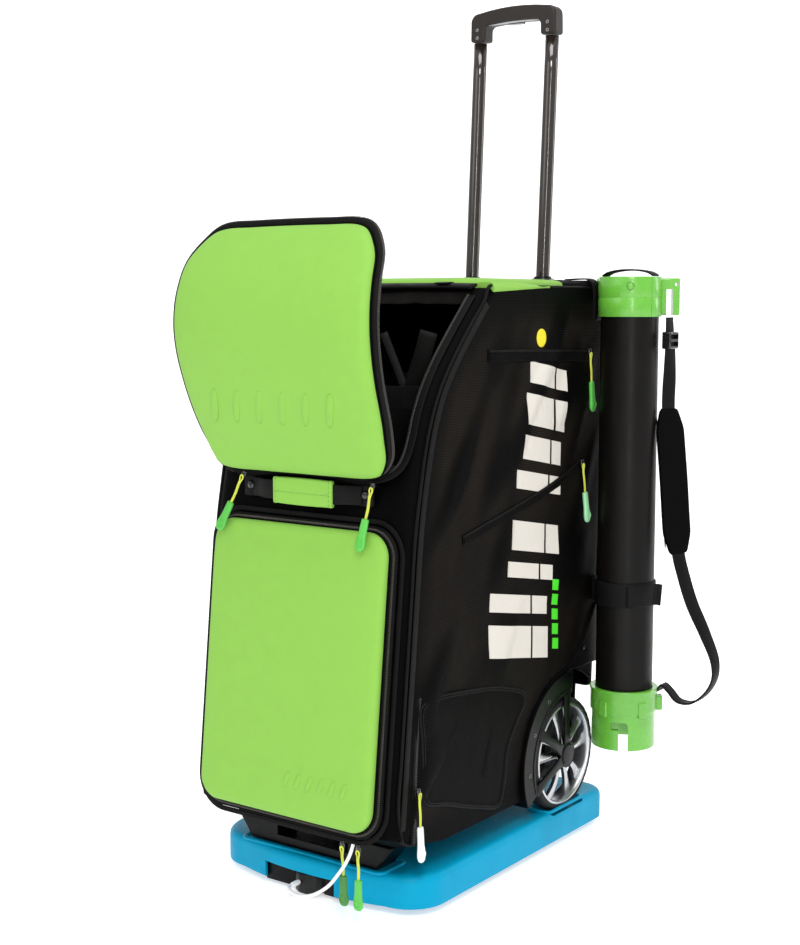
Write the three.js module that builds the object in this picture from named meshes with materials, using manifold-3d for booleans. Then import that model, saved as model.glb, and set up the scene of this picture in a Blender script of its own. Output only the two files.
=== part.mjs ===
// A tennis ball machine built into a trolley bag that stands on an oscillating turntable.
// Millimetres, +Z up. The origin is on the floor under the turntable's pivot, the bag's front
// faces -Y and its ball tube hangs on the +X side.
import * as THREE from 'three';
import { mergeVertices } from 'three/addons/utils/BufferGeometryUtils.js';
import Module from 'manifold-3d';

const wasm = await Module();
wasm.setup();

// ---------- driving dimensions ----------
const GAP = 0.3;
const BAG = { half: 172, wall: 5, cornerFront: 26, cornerRear: 22, top: 822 };
// Bag outline seen from the side: height, front face, rear face.
const BAG_LEVELS = [
  [92, -188, 236], [104, -254, 241], [120, -279, 242], [514, -237.6, 265], [617, -216, 271],
  [655, -203, 274], [706, -176, 277], [767, -120, 280], [822, -64, 283],
];
const MOUTH = { half: 148, y: -64, z: 592 };
const DOOR = { half: 157, bottom: 112, top: 519, radius: 42, thick: 16, tilt: 0.105, half_hole: 134 };
// Open flap: height, half width, rim position front to back.
const FLAP_LEVELS = [
  [583, 118, -251], [588, 137, -251], [600, 149, -251], [612, 156, -258], [640, 163, -270],
  [664, 166, -280], [700, 168, -294], [745, 170, -306], [785, 170, -308.5], [825, 168, -301.5],
  [860, 163, -286.5], [882, 150, -273], [900, 132, -262], [907, 112, -258],
];
const TRAY = { half: 181, front: -233, bow: 17, rear: 270, bottom: 10, top: 55, roof: 12, skin: 4 };
const STAND = { radius: 150, bottom: 0, top: 9.5, hub: 40, pin: 12 };
const GEAR = { module: 2.4, fixedTeeth: 180, pinionTeeth: 12, span: 18 };
const WHEEL = { y: 151, z: 133, tyre: 85, rim: 76, inner: 145, outer: 174, arch: 125 };
const ROD = { x: 65, y: 252, z: 810, slope: 23 / 397, radius: 10.5, top: 1207.7, bottom: 750 };
const GRIP = { half: 77, leg: 27, y: 277, bottom: 1208, top: 1251 };
const LAUNCH = { y: -95, z: 300, elevation: 15, wheel: 52, spacing: 81, plate: 42, bore: 40 };
const HOPPER = { rim: 692, neck: 548, floor: 500, radius: 130, drop: 82 };
const FEED = { radius: 124, pocket: 37, pockets: 5, bottom: 507, top: 541 };
const TUBE = { x: 224, y: 238, radius: 42.5, bore: 40, bottom: 150, top: 826 };

const COLOUR = {
  green: 0x97db5c, lime: 0x64cd50, blue: 0x089ecf, black: 0x16171a, dark: 0x232428,
  rubber: 0x141414, silver: 0xc9ccd0, steel: 0x9a9da2, white: 0xf2f2f2, grey: 0x4b4e52,
  yellow: 0xe1e16e,
};
const FINISH = {
  foam: [0.75, 0], fabric: [0.85, 0], plastic: [0.45, 0], gloss: [0.22, 0], rubber: [0.8, 0],
  metal: [0.3, 1],
};

// ---------- solids ----------
function toSolid(geometry) {
  const bare = geometry.clone();
  bare.deleteAttribute('normal');
  bare.deleteAttribute('uv');
  const merged = mergeVertices(bare, 1e-4);
  const vertProperties = new Float32Array(merged.attributes.position.array);
  const triVerts = new Uint32Array(merged.index.array);
  const solid = new wasm.Manifold(new wasm.Mesh({ numProp: 3, vertProperties, triVerts }));
  if (solid.volume() > 0) return solid;
  return new wasm.Manifold(new wasm.Mesh({ numProp: 3, vertProperties, triVerts: triVerts.reverse() }));
}

function toGeometry(solid) {
  const mesh = solid.getMesh();
  const geometry = new THREE.BufferGeometry();
  geometry.setAttribute('position', new THREE.BufferAttribute(mesh.vertProperties, 3));
  geometry.setIndex(new THREE.BufferAttribute(mesh.triVerts, 1));
  geometry.computeVertexNormals();
  return geometry;
}

const join = (...solids) => solids.reduce((sum, solid) => sum.add(solid));
const cut = (solid, ...tools) => tools.reduce((left, tool) => left.subtract(tool), solid);

function box([x0, x1], [y0, y1], [z0, z1]) {
  const geometry = new THREE.BoxGeometry(x1 - x0, y1 - y0, z1 - z0);
  geometry.translate((x0 + x1) / 2, (y0 + y1) / 2, (z0 + z1) / 2);
  return toSolid(geometry);
}

// An outline extruded from `from` to `to` along one axis. The outline's points are (y, z) for X,
// (x, z) for Y and (x, y) for Z.
function prism(axis, outline, from, to) {
  const shape = outline instanceof THREE.Shape ? outline : new THREE.Shape(toPoints(outline));
  const options = { depth: to - from, bevelEnabled: false, curveSegments: 4 };
  const geometry = new THREE.ExtrudeGeometry(shape, options);
  if (axis === 'x') geometry.applyMatrix4(new THREE.Matrix4().set(0, 0, 1, from, 1, 0, 0, 0, 0, 1, 0, 0, 0, 0, 0, 1));
  if (axis === 'y') geometry.rotateX(Math.PI / 2).translate(0, to, 0);
  if (axis === 'z') geometry.translate(0, 0, from);
  return toSolid(geometry);
}

const toPoints = (pairs) => pairs.map(([a, b]) => new THREE.Vector2(a, b));

// A round bar, or a cone where the radii differ, along one axis between `from` and `to`.
function bar(axis, [a, b], radius, from, to, sides = 24, endRadius = radius) {
  const geometry = new THREE.CylinderGeometry(endRadius, radius, to - from, sides);
  geometry.translate(0, (from + to) / 2, 0);
  if (axis === 'x') geometry.rotateZ(-Math.PI / 2).translate(0, a, b);
  if (axis === 'y') geometry.translate(a, 0, b);
  if (axis === 'z') geometry.rotateX(Math.PI / 2).translate(a, b, 0);
  return toSolid(geometry);
}

// A ring or turned piece about a vertical axis at (x, y); the profile is (radius, z) points.
function turned([x, y], profile, sides = 36) {
  const geometry = new THREE.LatheGeometry(toPoints(profile), sides);
  geometry.rotateX(Math.PI / 2).translate(x, y, 0);
  return toSolid(geometry);
}

const ring = (centre, inner, outer, z0, z1, sides) =>
  turned(centre, [[inner, z0], [outer, z0], [outer, z1], [inner, z1], [inner, z0]], sides);

function roundedOutline([x0, x1], [y0, y1], radius) {
  const shape = new THREE.Shape();
  shape.moveTo(x0 + radius, y0);
  shape.lineTo(x1 - radius, y0);
  shape.absarc(x1 - radius, y0 + radius, radius, -Math.PI / 2, 0, false);
  shape.lineTo(x1, y1 - radius);
  shape.absarc(x1 - radius, y1 - radius, radius, 0, Math.PI / 2, false);
  shape.lineTo(x0 + radius, y1);
  shape.absarc(x0 + radius, y1 - radius, radius, Math.PI / 2, Math.PI, false);
  shape.lineTo(x0, y0 + radius);
  shape.absarc(x0 + radius, y0 + radius, radius, Math.PI, 1.5 * Math.PI, false);
  return shape;
}

// A closed skin over horizontal rings of equal length, each a convex loop, lowest first.
function loft(rings) {
  const count = rings[0].length;
  const positions = rings.flat().flatMap((p) => [p.x, p.y, p.z]);
  const index = [];
  for (let level = 0; level + 1 < rings.length; level += 1) {
    for (let i = 0; i < count; i += 1) {
      const a = level * count + i;
      const b = level * count + ((i + 1) % count);
      index.push(a, b, b + count, a, b + count, a + count);
    }
  }
  const last = (rings.length - 1) * count;
  for (let i = 1; i + 1 < count; i += 1) {
    index.push(0, i + 1, i, last, last + i, last + i + 1);
  }
  const geometry = new THREE.BufferGeometry();
  geometry.setAttribute('position', new THREE.Float32BufferAttribute(positions, 3));
  geometry.setIndex(index);
  return toSolid(geometry);
}

function roundedRing([x0, x1], [y0, y1], z, front, rear) {
  const corners = [[x1 - front, y0 + front, -90, front], [x1 - rear, y1 - rear, 0, rear],
    [x0 + rear, y1 - rear, 90, rear], [x0 + front, y0 + front, 180, front]];
  return corners.flatMap(([x, y, start, radius]) => [0, 30, 60, 90].map((step) => {
    const angle = THREE.MathUtils.degToRad(start + step);
    return new THREE.Vector3(x + radius * Math.cos(angle), y + radius * Math.sin(angle), z);
  }));
}

// A ring between a rectangle and a circle: power 2 is an ellipse, 8 is nearly a rectangle.
function superRing([cx, cy], [a, b], power, z) {
  return Array.from({ length: 24 }, (_, i) => {
    const angle = ((i + 0.5) / 24) * 2 * Math.PI;
    const c = Math.cos(angle);
    const s = Math.sin(angle);
    const x = cx + a * Math.sign(c) * Math.abs(c) ** (2 / power);
    return new THREE.Vector3(x, cy + b * Math.sign(s) * Math.abs(s) ** (2 / power), z);
  });
}

// A flat strap `width` wide along Y whose middle line runs through the (x, z) points.
function strap(points, thick, [y0, y1]) {
  const curve = new THREE.CatmullRomCurve3(points.map(([x, z]) => new THREE.Vector3(x, z, 0)));
  const steps = points.length * 2;
  const side = (sign) => Array.from({ length: steps + 1 }, (_, i) => {
    const at = curve.getPointAt(i / steps);
    const along = curve.getTangentAt(i / steps);
    return [at.x - (sign * along.y * thick) / 2, at.y + (sign * along.x * thick) / 2];
  });
  return prism('y', [...side(-1), ...side(1).reverse()], y0, y1);
}

function tubeAlong(points, radius, sides, steps, bore = 0) {
  const path = new THREE.CatmullRomCurve3(points.map((p) => new THREE.Vector3(...p)));
  const circle = (r) => toPoints(Array.from({ length: sides }, (_, i) => {
    const angle = (i / sides) * 2 * Math.PI;
    return [r * Math.cos(angle), r * Math.sin(angle)];
  }));
  const shape = new THREE.Shape(circle(radius));
  if (bore > 0) shape.holes.push(new THREE.Path(circle(bore).reverse()));
  return toSolid(new THREE.ExtrudeGeometry(shape, { steps, extrudePath: path, bevelEnabled: false }));
}

// Points of one gear tooth after another, trapezoid teeth, from angle `start` in radians.
function toothPoints(radius, teeth, module, first, count) {
  const pitch = (2 * Math.PI) / teeth;
  const root = radius - 1.2 * module;
  const tip = radius + 0.8 * module;
  const points = [];
  for (let i = 0; i < count; i += 1) {
    const mid = first + i * pitch;
    const corners = [[root, -0.29], [tip, -0.12], [tip, 0.12], [root, 0.29]];
    corners.forEach(([r, part]) => {
      const angle = mid + part * pitch;
      points.push([r * Math.cos(angle), r * Math.sin(angle)]);
    });
  }
  return points;
}

// ---------- scene graph ----------
const machine = new THREE.Group();

function addPart(name, solid, colour, finish, parent = machine) {
  const [roughness, metalness] = FINISH[finish];
  const material = new THREE.MeshStandardMaterial({ color: COLOUR[colour], roughness, metalness });
  const mesh = new THREE.Mesh(toGeometry(solid), material);
  mesh.name = name;
  parent.add(mesh);
  return mesh;
}

function groupAt(x, y, z) {
  const group = new THREE.Group();
  group.position.set(x, y, z);
  machine.add(group);
  return group;
}

// ---------- fixed stand ----------
function buildStand() {
  const pitchRadius = (GEAR.module * GEAR.fixedTeeth) / 2;
  const teeth = GEAR.span;
  const first = -Math.PI / 2 + ((0.5 - teeth / 2) * 2 * Math.PI) / GEAR.fixedTeeth;
  const arc = toothPoints(pitchRadius, GEAR.fixedTeeth, GEAR.module, first, teeth);
  const sector = prism('z', [...arc, [100, -60], [-100, -60]], 3.4, STAND.top);
  const plate = bar('z', [0, 0], STAND.radius, STAND.bottom, STAND.top, 36);
  const hub = bar('z', [0, 0], STAND.hub, STAND.bottom, 30, 20);
  const pin = bar('z', [0, 0], STAND.pin, STAND.bottom, TRAY.top - 1, 16);
  addPart('stand_gear', join(plate, sector, hub, pin), 'black', 'plastic');

  const bearing = ring([0, 0], STAND.pin + 0.5, STAND.hub - 2, 30 + GAP, TRAY.top - TRAY.roof - GAP, 20);
  addPart('thrust_bearing', bearing, 'steel', 'metal');
}

// ---------- turntable ----------
function trayOutline(inset) {
  const half = TRAY.half - inset;
  const front = TRAY.front + inset;
  const rear = TRAY.rear - inset;
  const shape = new THREE.Shape();
  shape.moveTo(-half + 55, front);
  shape.quadraticCurveTo(0, front - 2 * TRAY.bow, half - 55, front);
  shape.absarc(half - 55, front + 55, 55, -Math.PI / 2, 0, false);
  shape.absarc(half - 30, rear - 30, 30, 0, Math.PI / 2, false);
  shape.absarc(-half + 30, rear - 30, 30, Math.PI / 2, Math.PI, false);
  shape.absarc(-half + 55, front + 55, 55, Math.PI, 1.5 * Math.PI, false);
  return shape;
}

function buildTurntable() {
  const body = prism('z', trayOutline(0), TRAY.bottom, TRAY.top);
  const hollow = prism('z', trayOutline(TRAY.skin), TRAY.bottom - 1, TRAY.top - TRAY.roof);
  const notch = box([-74, 50], [-300, -215], [TRAY.bottom - 1, 33]);
  const pivotHole = bar('z', [0, 0], STAND.pin + 0.4, 0, 99, 16);
  const recess = (side) => box([side - 20, side + 20], [WHEEL.y - 48, WHEEL.y + 48], [46.5, 99]);
  const tray = cut(body, hollow, notch, pivotHole, recess(160), recess(-160));
  addPart('turntable_tray', tray, 'blue', 'gloss');

  const centre = (GEAR.module * (GEAR.fixedTeeth + GEAR.pinionTeeth)) / 2;
  const drum = join(bar('z', [0, -centre], 23.5, 5, 32.5, 24),
    bar('z', [0, -centre], 15, 32, TRAY.top - TRAY.roof - GAP, 16));
  const gearSpace = bar('z', [0, -centre], 18.5, 0, 15, 16);
  const meshSpace = box([-40, 40], [-centre, -150], [0, 15]);
  addPart('drive_housing', cut(drum, gearSpace, meshSpace), 'black', 'plastic');

  const drive = groupAt(0, -centre, 0);
  const phase = Math.PI / 2;
  const pinionRadius = (GEAR.module * GEAR.pinionTeeth) / 2;
  const teeth = toothPoints(pinionRadius, GEAR.pinionTeeth, GEAR.module, phase, GEAR.pinionTeeth);
  addPart('drive_pinion', prism('z', teeth, 4.4, 14.4), 'steel', 'metal', drive);

  const foot = prism('y', [[-110, 55.3], [110, 55.3], [137, 91.6], [-137, 91.6]], -232, -190);
  const window = box([-62, 62], [-300, -100], [69, 85]);
  addPart('front_foot', cut(foot, window), 'black', 'plastic');
}

// ---------- bag ----------
function bagSkin(inset) {
  const levels = BAG_LEVELS.map(([z, front, rear], i) => {
    const edge = i === 0 ? inset : 0;
    const lift = i === BAG_LEVELS.length - 1 ? -inset : edge;
    const x = BAG.half - inset;
    const corner = Math.max(4, BAG.cornerFront - inset);
    return roundedRing([-x, x], [front + inset, rear - inset], z + lift, corner, BAG.cornerRear - inset);
  });
  return loft(levels);
}

function frontFace(z) {
  return -279 + (z - 120) * DOOR.tilt;
}

function buildBag() {
  const outside = bagSkin(0);
  const inside = bagSkin(BAG.wall);
  const mouth = box([-MOUTH.half, MOUTH.half], [-400, MOUTH.y], [MOUTH.z, 900]);
  const doorHole = box([-DOOR.half_hole, DOOR.half_hole], [-400, -150], [136, 500]);
  const wheelWell = (from, to) => join(
    bar('x', [WHEEL.y, WHEEL.z], WHEEL.arch + 1, from, to, 28),
    box([from, to], [WHEEL.y, 300], [60, WHEEL.z + 20]),
    box([from, to], [WHEEL.y - 100, 300], [60, WHEEL.z]),
  );
  const rodHole = (side) => bar('z', [side * ROD.x, ROD.y], 16, 790, 850, 12);
  const shell = cut(outside, inside, mouth, doorHole, wheelWell(136, 200), wheelWell(-200, -136),
    rodHole(1), rodHole(-1));
  addPart('bag_shell', shell, 'black', 'fabric');

  const panel = prism('z', roundedOutline([-138, 138], [-54, 214], 30), BAG.top + GAP, 836);
  addPart('top_panel', panel, 'green', 'foam');
  const plate = prism('z', roundedOutline([-110, 110], [222, 280], 16), BAG.top + GAP, 842);
  const bezelHole = (side) => bar('z', [side * ROD.x, ROD.y + 1.5], 14.4, 790, 850, 16);
  addPart('trolley_bezel', cut(plate, bezelHole(1), bezelHole(-1)), 'dark', 'plastic');

  buildDoor();
  buildFlap();
  buildCarryHandle();
}

function buildDoor() {
  const door = groupAt(0, frontFace(DOOR.top) - 1.2, DOOR.top);
  door.rotation.x = -Math.atan(DOOR.tilt);
  const height = DOOR.top - DOOR.bottom;
  const edge = prism('y', roundedOutline([-DOOR.half, DOOR.half], [-height, 0], DOOR.radius), -7, 0);
  const raised = [[-DOOR.half + 7, DOOR.half - 7], [-height + 7, -7]];
  const panel = prism('y', roundedOutline(...raised, DOOR.radius - 6), -DOOR.thick, -6);
  addPart('front_door', join(edge, panel), 'green', 'foam', door);
}

// The flap is stacked from level cross-sections, each a shallow lens bowed towards the front.
function buildFlap() {
  const rings = FLAP_LEVELS.map(([z, half, rimY], i) => {
    const end = i === 0 || i === FLAP_LEVELS.length - 1;
    const thick = end ? 0.35 : 1;
    const front = [[-1, 0, 0], [-1, 4, -9], [-1, 14, -17], [0, 0, -21], [1, 14, -17], [1, 4, -9], [1, 0, 0]];
    const back = [[1, 10, 4], [0, 0, 5], [-1, 10, 4]];
    return [...front, ...back].map(([side, inset, depth]) =>
      new THREE.Vector3(side * (half - inset), rimY + depth * thick, z));
  });
  addPart('front_flap', loft(rings), 'green', 'foam');
}

function buildCarryHandle() {
  const webbing = [[-92, 239], [-80, 243], [-62, 252], [62, 252], [80, 243], [92, 239]];
  const band = (grow) => [
    ...webbing.map(([x, y]) => [x, -y - 1.2 - grow]),
    ...webbing.map(([x, y]) => [x, -y + 1.2 + grow]).reverse(),
  ];
  addPart('carry_strap', prism('z', band(0), 542, 568), 'black', 'fabric');
  const pad = prism('x', roundedOutline([-260, -244.5], [537, 573], 6), -50, 50);
  const slot = box([-60, 60], [-254, -250], [541, 569]);
  addPart('carry_grip', cut(pad, slot), 'green', 'foam');
}

// ---------- trolley ----------
function sloped(solid) {
  const lean = Math.atan(ROD.slope);
  const geometry = toGeometry(solid).rotateX(-lean).translate(0, ROD.y, ROD.z);
  return toSolid(geometry);
}

function buildTrolley() {
  const long = Math.hypot(1, ROD.slope);
  const along = (z) => (z - ROD.z) * long;
  ['right', 'left'].forEach((side, i) => {
    const x = i === 0 ? ROD.x : -ROD.x;
    const rod = bar('z', [x, 0], ROD.radius, along(ROD.bottom), along(ROD.top) - 1, 12);
    addPart(`trolley_rod_${side}`, sloped(rod), 'dark', 'gloss');
    const sleeve = ring([x, 0], ROD.radius + 0.6, 13, along(118), along(836), 12);
    addPart(`trolley_tube_${side}`, sloped(sleeve), 'steel', 'metal');
  });

  const rail = [[-GRIP.half, GRIP.bottom], [-GRIP.half, 1240], [-GRIP.half + 12, GRIP.top], [-40, GRIP.top + 4],
    [0, GRIP.top + 6], [40, GRIP.top + 4], [GRIP.half - 12, GRIP.top], [GRIP.half, 1240],
    [GRIP.half, GRIP.bottom], [GRIP.half - GRIP.leg, GRIP.bottom], [GRIP.half - GRIP.leg, 1226],
    [40, 1233], [-40, 1233], [-GRIP.half + GRIP.leg, 1226], [-GRIP.half + GRIP.leg, GRIP.bottom]];
  const frame = prism('y', rail, GRIP.y - 15, GRIP.y + 13);
  const pocket = box([-14.5, 14.5], [GRIP.y - 8.5, GRIP.y + 6.5], [1225, 1246]);
  addPart('handle_grip', cut(frame, pocket), 'black', 'plastic');
  addPart('grip_button', box([-14, 14], [GRIP.y - 8, GRIP.y + 6], [1230, 1240]), 'dark', 'plastic');
}

// ---------- wheels ----------
function wheelPlate(from, to) {
  const outer = bar('x', [WHEEL.y, WHEEL.z], WHEEL.arch, from, to, 28);
  const inner = bar('x', [WHEEL.y, WHEEL.z], 92, from - 1, to + 1, 24);
  const rearCut = prism('x', [[WHEEL.y + 12, WHEEL.z - 60], [400, WHEEL.z - 60],
    [400, 500], [WHEEL.y + 22, 500]], from - 1, to + 1);
  const lowCut = prism('x', [[WHEEL.y, WHEEL.z - 6], [0, WHEEL.z - 52], [0, -50], [400, -50], [400, WHEEL.z + 1]],
    from - 1, to + 1);
  return { outer, band: cut(outer, inner, rearCut, lowCut), rearCut, lowCut };
}

function spoke(angle, inner, outer, halfWidth, from, to) {
  const c = Math.cos(angle);
  const s = Math.sin(angle);
  const corner = (r, w) => [WHEEL.y + r * c - w * s, WHEEL.z + r * s + w * c];
  const outline = [corner(inner, -halfWidth), corner(outer, -halfWidth), corner(outer, halfWidth), corner(inner, halfWidth)];
  return prism('x', outline, from, to);
}

function buildWheel(side, mirror) {
  const span = (a, b) => (mirror > 0 ? [a, b] : [-b, -a]);
  const turn = (r, a, b, sides) => bar('x', [WHEEL.y, WHEEL.z], r, ...span(a, b), sides);
  const ringAt = (inner, outer, a, b, sides = 28) => cut(turn(outer, a, b, sides), turn(inner, a - 1, b + 1, sides));

  addPart(`tyre_${side}`, ringAt(WHEEL.rim + GAP, WHEEL.tyre, WHEEL.inner, WHEEL.outer), 'rubber', 'rubber');
  const barrel = ringAt(WHEEL.rim - 5, WHEEL.rim, WHEEL.inner + 2, WHEEL.outer - 1);
  const spokes = Array.from({ length: 10 }, (_, i) => {
    const angle = (Math.floor(i / 2) * 72 + (i % 2 ? 13 : -13) + 90) * (Math.PI / 180);
    return spoke(angle, 10, WHEEL.rim - 3, 4.5, ...span(WHEEL.outer - 13, WHEEL.outer - 4));
  });
  const hub = turn(17, WHEEL.inner + 2, WHEEL.outer - 3, 16);
  const rim = cut(join(barrel, hub, ...spokes), turn(6.4, 100, 200, 12));
  addPart(`wheel_rim_${side}`, rim, 'silver', 'metal');

  const face = wheelPlate(...span(WHEEL.outer + 1.2, WHEEL.outer + 5));
  const arms = [92, 148, 205].map((degrees) =>
    spoke((degrees * Math.PI) / 180, 0, WHEEL.arch - 12, 7, ...span(WHEEL.outer + 1.2, WHEEL.outer + 5)));
  const cap = turn(20, WHEEL.outer + 1.2, WHEEL.outer + 6, 16);
  const wall = wheelPlate(...span(138, WHEEL.outer + 5));
  const archWall = cut(wall.outer, turn(WHEEL.arch - 4, 100, 200, 28), wall.rearCut, wall.lowCut);
  const innerPlate = wheelPlate(...span(138, 141));
  const backing = cut(innerPlate.outer, turn(6.4, 100, 200, 12),
    box([-200, 200], [0, 400], [0, 91]), box([-200, 200], [WHEEL.y + 75, 400], [0, 400]));
  const bearingBoss = cut(turn(12, 141 - 1, WHEEL.inner + 1, 12), turn(6.4, 100, 200, 12));
  const capped = join(face.band, cap, ...arms, archWall, backing, bearingBoss);
  addPart(`wheel_housing_${side}`, capped, 'black', 'plastic');
}

function buildRunningGear() {
  buildWheel('right', 1);
  buildWheel('left', -1);
  addPart('wheel_axle', bar('x', [WHEEL.y, WHEEL.z], 6, -WHEEL.outer, WHEEL.outer, 12), 'steel', 'metal');
}

// ---------- ball feed and launcher ----------
function buildFeed() {
  const r = HOPPER.radius;
  const rings = (grow, low, high) => [
    superRing([0, 0], [r + grow, r + grow], 2, low),
    superRing([0, 0], [r + grow, r + grow], 2, HOPPER.neck),
    superRing([0, 28], [157 + grow, 176 + grow], 7, HOPPER.rim - 30),
    superRing([0, 28], [159 + grow, 178 + grow], 7, high),
  ];
  const floorTop = HOPPER.floor + 4;
  const bowl = cut(loft(rings(0, HOPPER.floor, HOPPER.rim)), loft(rings(-4, floorTop, HOPPER.rim + 1)),
    bar('z', [0, HOPPER.drop], 39, 400, 600, 18), bar('z', [0, 0], 4.8, 400, 600, 10));
  const rodClearance = box([-90, 90], [203, 300], [400, 900]);
  addPart('ball_hopper', cut(bowl, rodClearance), 'black', 'plastic');

  const wheel = bar('z', [0, 0], FEED.radius, FEED.bottom, FEED.top, 30);
  const pockets = Array.from({ length: FEED.pockets }, (_, i) => {
    const angle = Math.PI / 2 + (i * 2 * Math.PI) / FEED.pockets;
    const at = [HOPPER.drop * Math.cos(angle), HOPPER.drop * Math.sin(angle)];
    return bar('z', at, FEED.pocket, 400, 600, 14);
  });
  const shaft = bar('z', [0, 0], 4.2, 490, FEED.bottom + 5, 10);
  const cone = bar('z', [0, 0], 30, FEED.top - 1, FEED.top + 22, 14, 8);
  addPart('feed_disc', join(cut(wheel, ...pockets), shaft, cone), 'lime', 'plastic');

  const motor = cut(bar('z', [0, 0], 20, 444, HOPPER.floor - 6.4, 16), bar('z', [0, 0], 4.8, 488, 600, 10));
  addPart('feed_motor', motor, 'steel', 'metal');

  const route = [[0, 82, 493], [0, 82, 440], [0, 77, 392], [0, 60, 352]];
  addPart('feed_chute', tubeAlong(route, 42, 16, 6, 39), 'dark', 'plastic');
}

function buildChassis() {
  const base = box([-122, 122], [-236, 196], [104, 108]);
  const cheek = (x) => box([x - 1.5, x + 1.5], [-150, -40], [104, 497]);
  const shelf = box([-122, 122], [-150, 140], [494, 497]);
  const rearLeg = (x) => box([x - 6, x + 6], [128, 140], [104, 497]);
  const trunnion = bar('x', [LAUNCH.y, LAUNCH.z], 8.4, -200, 200, 12);
  const frame = join(base, cheek(119), cheek(-119), shelf, rearLeg(114), rearLeg(-114));
  const holes = [bar('z', [0, 0], 22, 400, 600, 16), bar('z', [0, HOPPER.drop], 42.8, 400, 600, 18)];
  addPart('chassis', cut(frame, trunnion, ...holes), 'steel', 'metal');

  addPart('battery_pack', prism('x', roundedOutline([20, 120], [108 + GAP, 196], 8), -62, 62), 'dark', 'plastic');

  const console = prism('y', roundedOutline([-116, 116], [424, 490], 8), -218, -192);
  const bracket = join(box([-122, -108], [-192, -149.5], [440, 480]), box([108, 122], [-192, -149.5], [440, 480]));
  const bores = [-70, 0].map((x) => bar('y', [x, 457], 3.6, -260, -205, 10));
  const switchHole = box([53, 87], [-230, -204], [445, 469]);
  addPart('control_panel', cut(join(console, cut(bracket, box([-200, 200], [-150.2, 0], [0, 900]))),
    ...bores, switchHole), 'dark', 'plastic');
  [['speed_knob', -70], ['feed_knob', 0]].forEach(([name, x]) => {
    const knob = join(bar('y', [0, 0], 15, -14, -1, 14), bar('y', [0, 0], 3.1, -2, 9, 8),
      box([-2, 2], [-15.5, -10], [2, 14]));
    addPart(name, knob, 'lime', 'plastic', groupAt(x, -218, 457));
  });
  const rocker = prism('x', [[-4, -9], [-6, 9], [6, 8], [6, -8]], -16, 16);
  addPart('power_switch', rocker, 'black', 'gloss', groupAt(70, -213, 457));
}

function buildLauncher() {
  const launcher = groupAt(0, LAUNCH.y, LAUNCH.z);
  launcher.rotation.x = -THREE.MathUtils.degToRad(LAUNCH.elevation);
  const { plate, spacing, wheel, bore } = LAUNCH;

  const side = [[-30, -138], [30, -138], [70, -60], [70, 60], [30, 138], [-30, 138], [-70, 60], [-70, -60]];
  const cheek = (from) => prism('x', side, from, from + 3);
  const cheeks = join(cheek(plate), cheek(-plate - 3));
  const bridge = (z) => box([-plate - 1, plate + 1], [-25, 25], [z - 1.5, z + 1.5]);
  const pipe = (from, to) => cut(bar('y', [0, 0], bore + 3.2, from, to, 18),
    bar('y', [0, 0], bore, from - 1, to + 1, 18));
  const pins = join(bar('x', [0, 0], 8, plate + 1, 124, 12), bar('x', [0, 0], 8, -124, -plate - 1, 12));
  const shaftHole = (z) => bar('x', [0, z], 4.8, -60, 60, 10);
  const frame = join(cheeks, bridge(136.5), bridge(-136.5), pipe(-135, -58), pipe(58, 100), pins);
  addPart('launcher_frame', cut(frame, shaftHole(spacing), shaftHole(-spacing)), 'dark', 'plastic', launcher);

  [['upper', 1], ['lower', -1]].forEach(([name, sign]) => {
    const axle = [0, sign * spacing];
    const tread = join(bar('x', axle, wheel, -21, 21, 26), bar('x', axle, 4.2, -44, 58, 10));
    addPart(`launch_wheel_${name}`, tread, 'grey', 'rubber', launcher);
    const motor = cut(bar('x', axle, 22, plate + 3 + GAP, 100, 16), bar('x', axle, 4.8, 0, 60, 10));
    addPart(`launch_motor_${name}`, motor, 'steel', 'metal', launcher);
  });

  const lobes = Array.from({ length: 5 }, (_, i) => {
    const angle = (i * 2 * Math.PI) / 5;
    return bar('x', [16 * Math.cos(angle), 16 * Math.sin(angle)], 6, 0, 10, 8);
  });
  const knob = join(bar('x', [0, 0], 15, 0, 12, 14), ...lobes);
  addPart('tilt_lock_knob', knob, 'lime', 'plastic', groupAt(125, LAUNCH.y, LAUNCH.z));
}

// ---------- ball tube ----------
function polar(degrees, radius) {
  const angle = THREE.MathUtils.degToRad(degrees);
  return [TUBE.x + radius * Math.cos(angle), TUBE.y + radius * Math.sin(angle)];
}

// A block standing out of the tube: radial span, half width and height span at one heading.
function radialBlock(degrees, [r0, r1], half, [z0, z1]) {
  const geometry = new THREE.BoxGeometry(r1 - r0, 2 * half, z1 - z0);
  geometry.translate((r0 + r1) / 2, 0, (z0 + z1) / 2);
  geometry.rotateZ(THREE.MathUtils.degToRad(degrees)).translate(TUBE.x, TUBE.y, 0);
  return toSolid(geometry);
}

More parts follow.
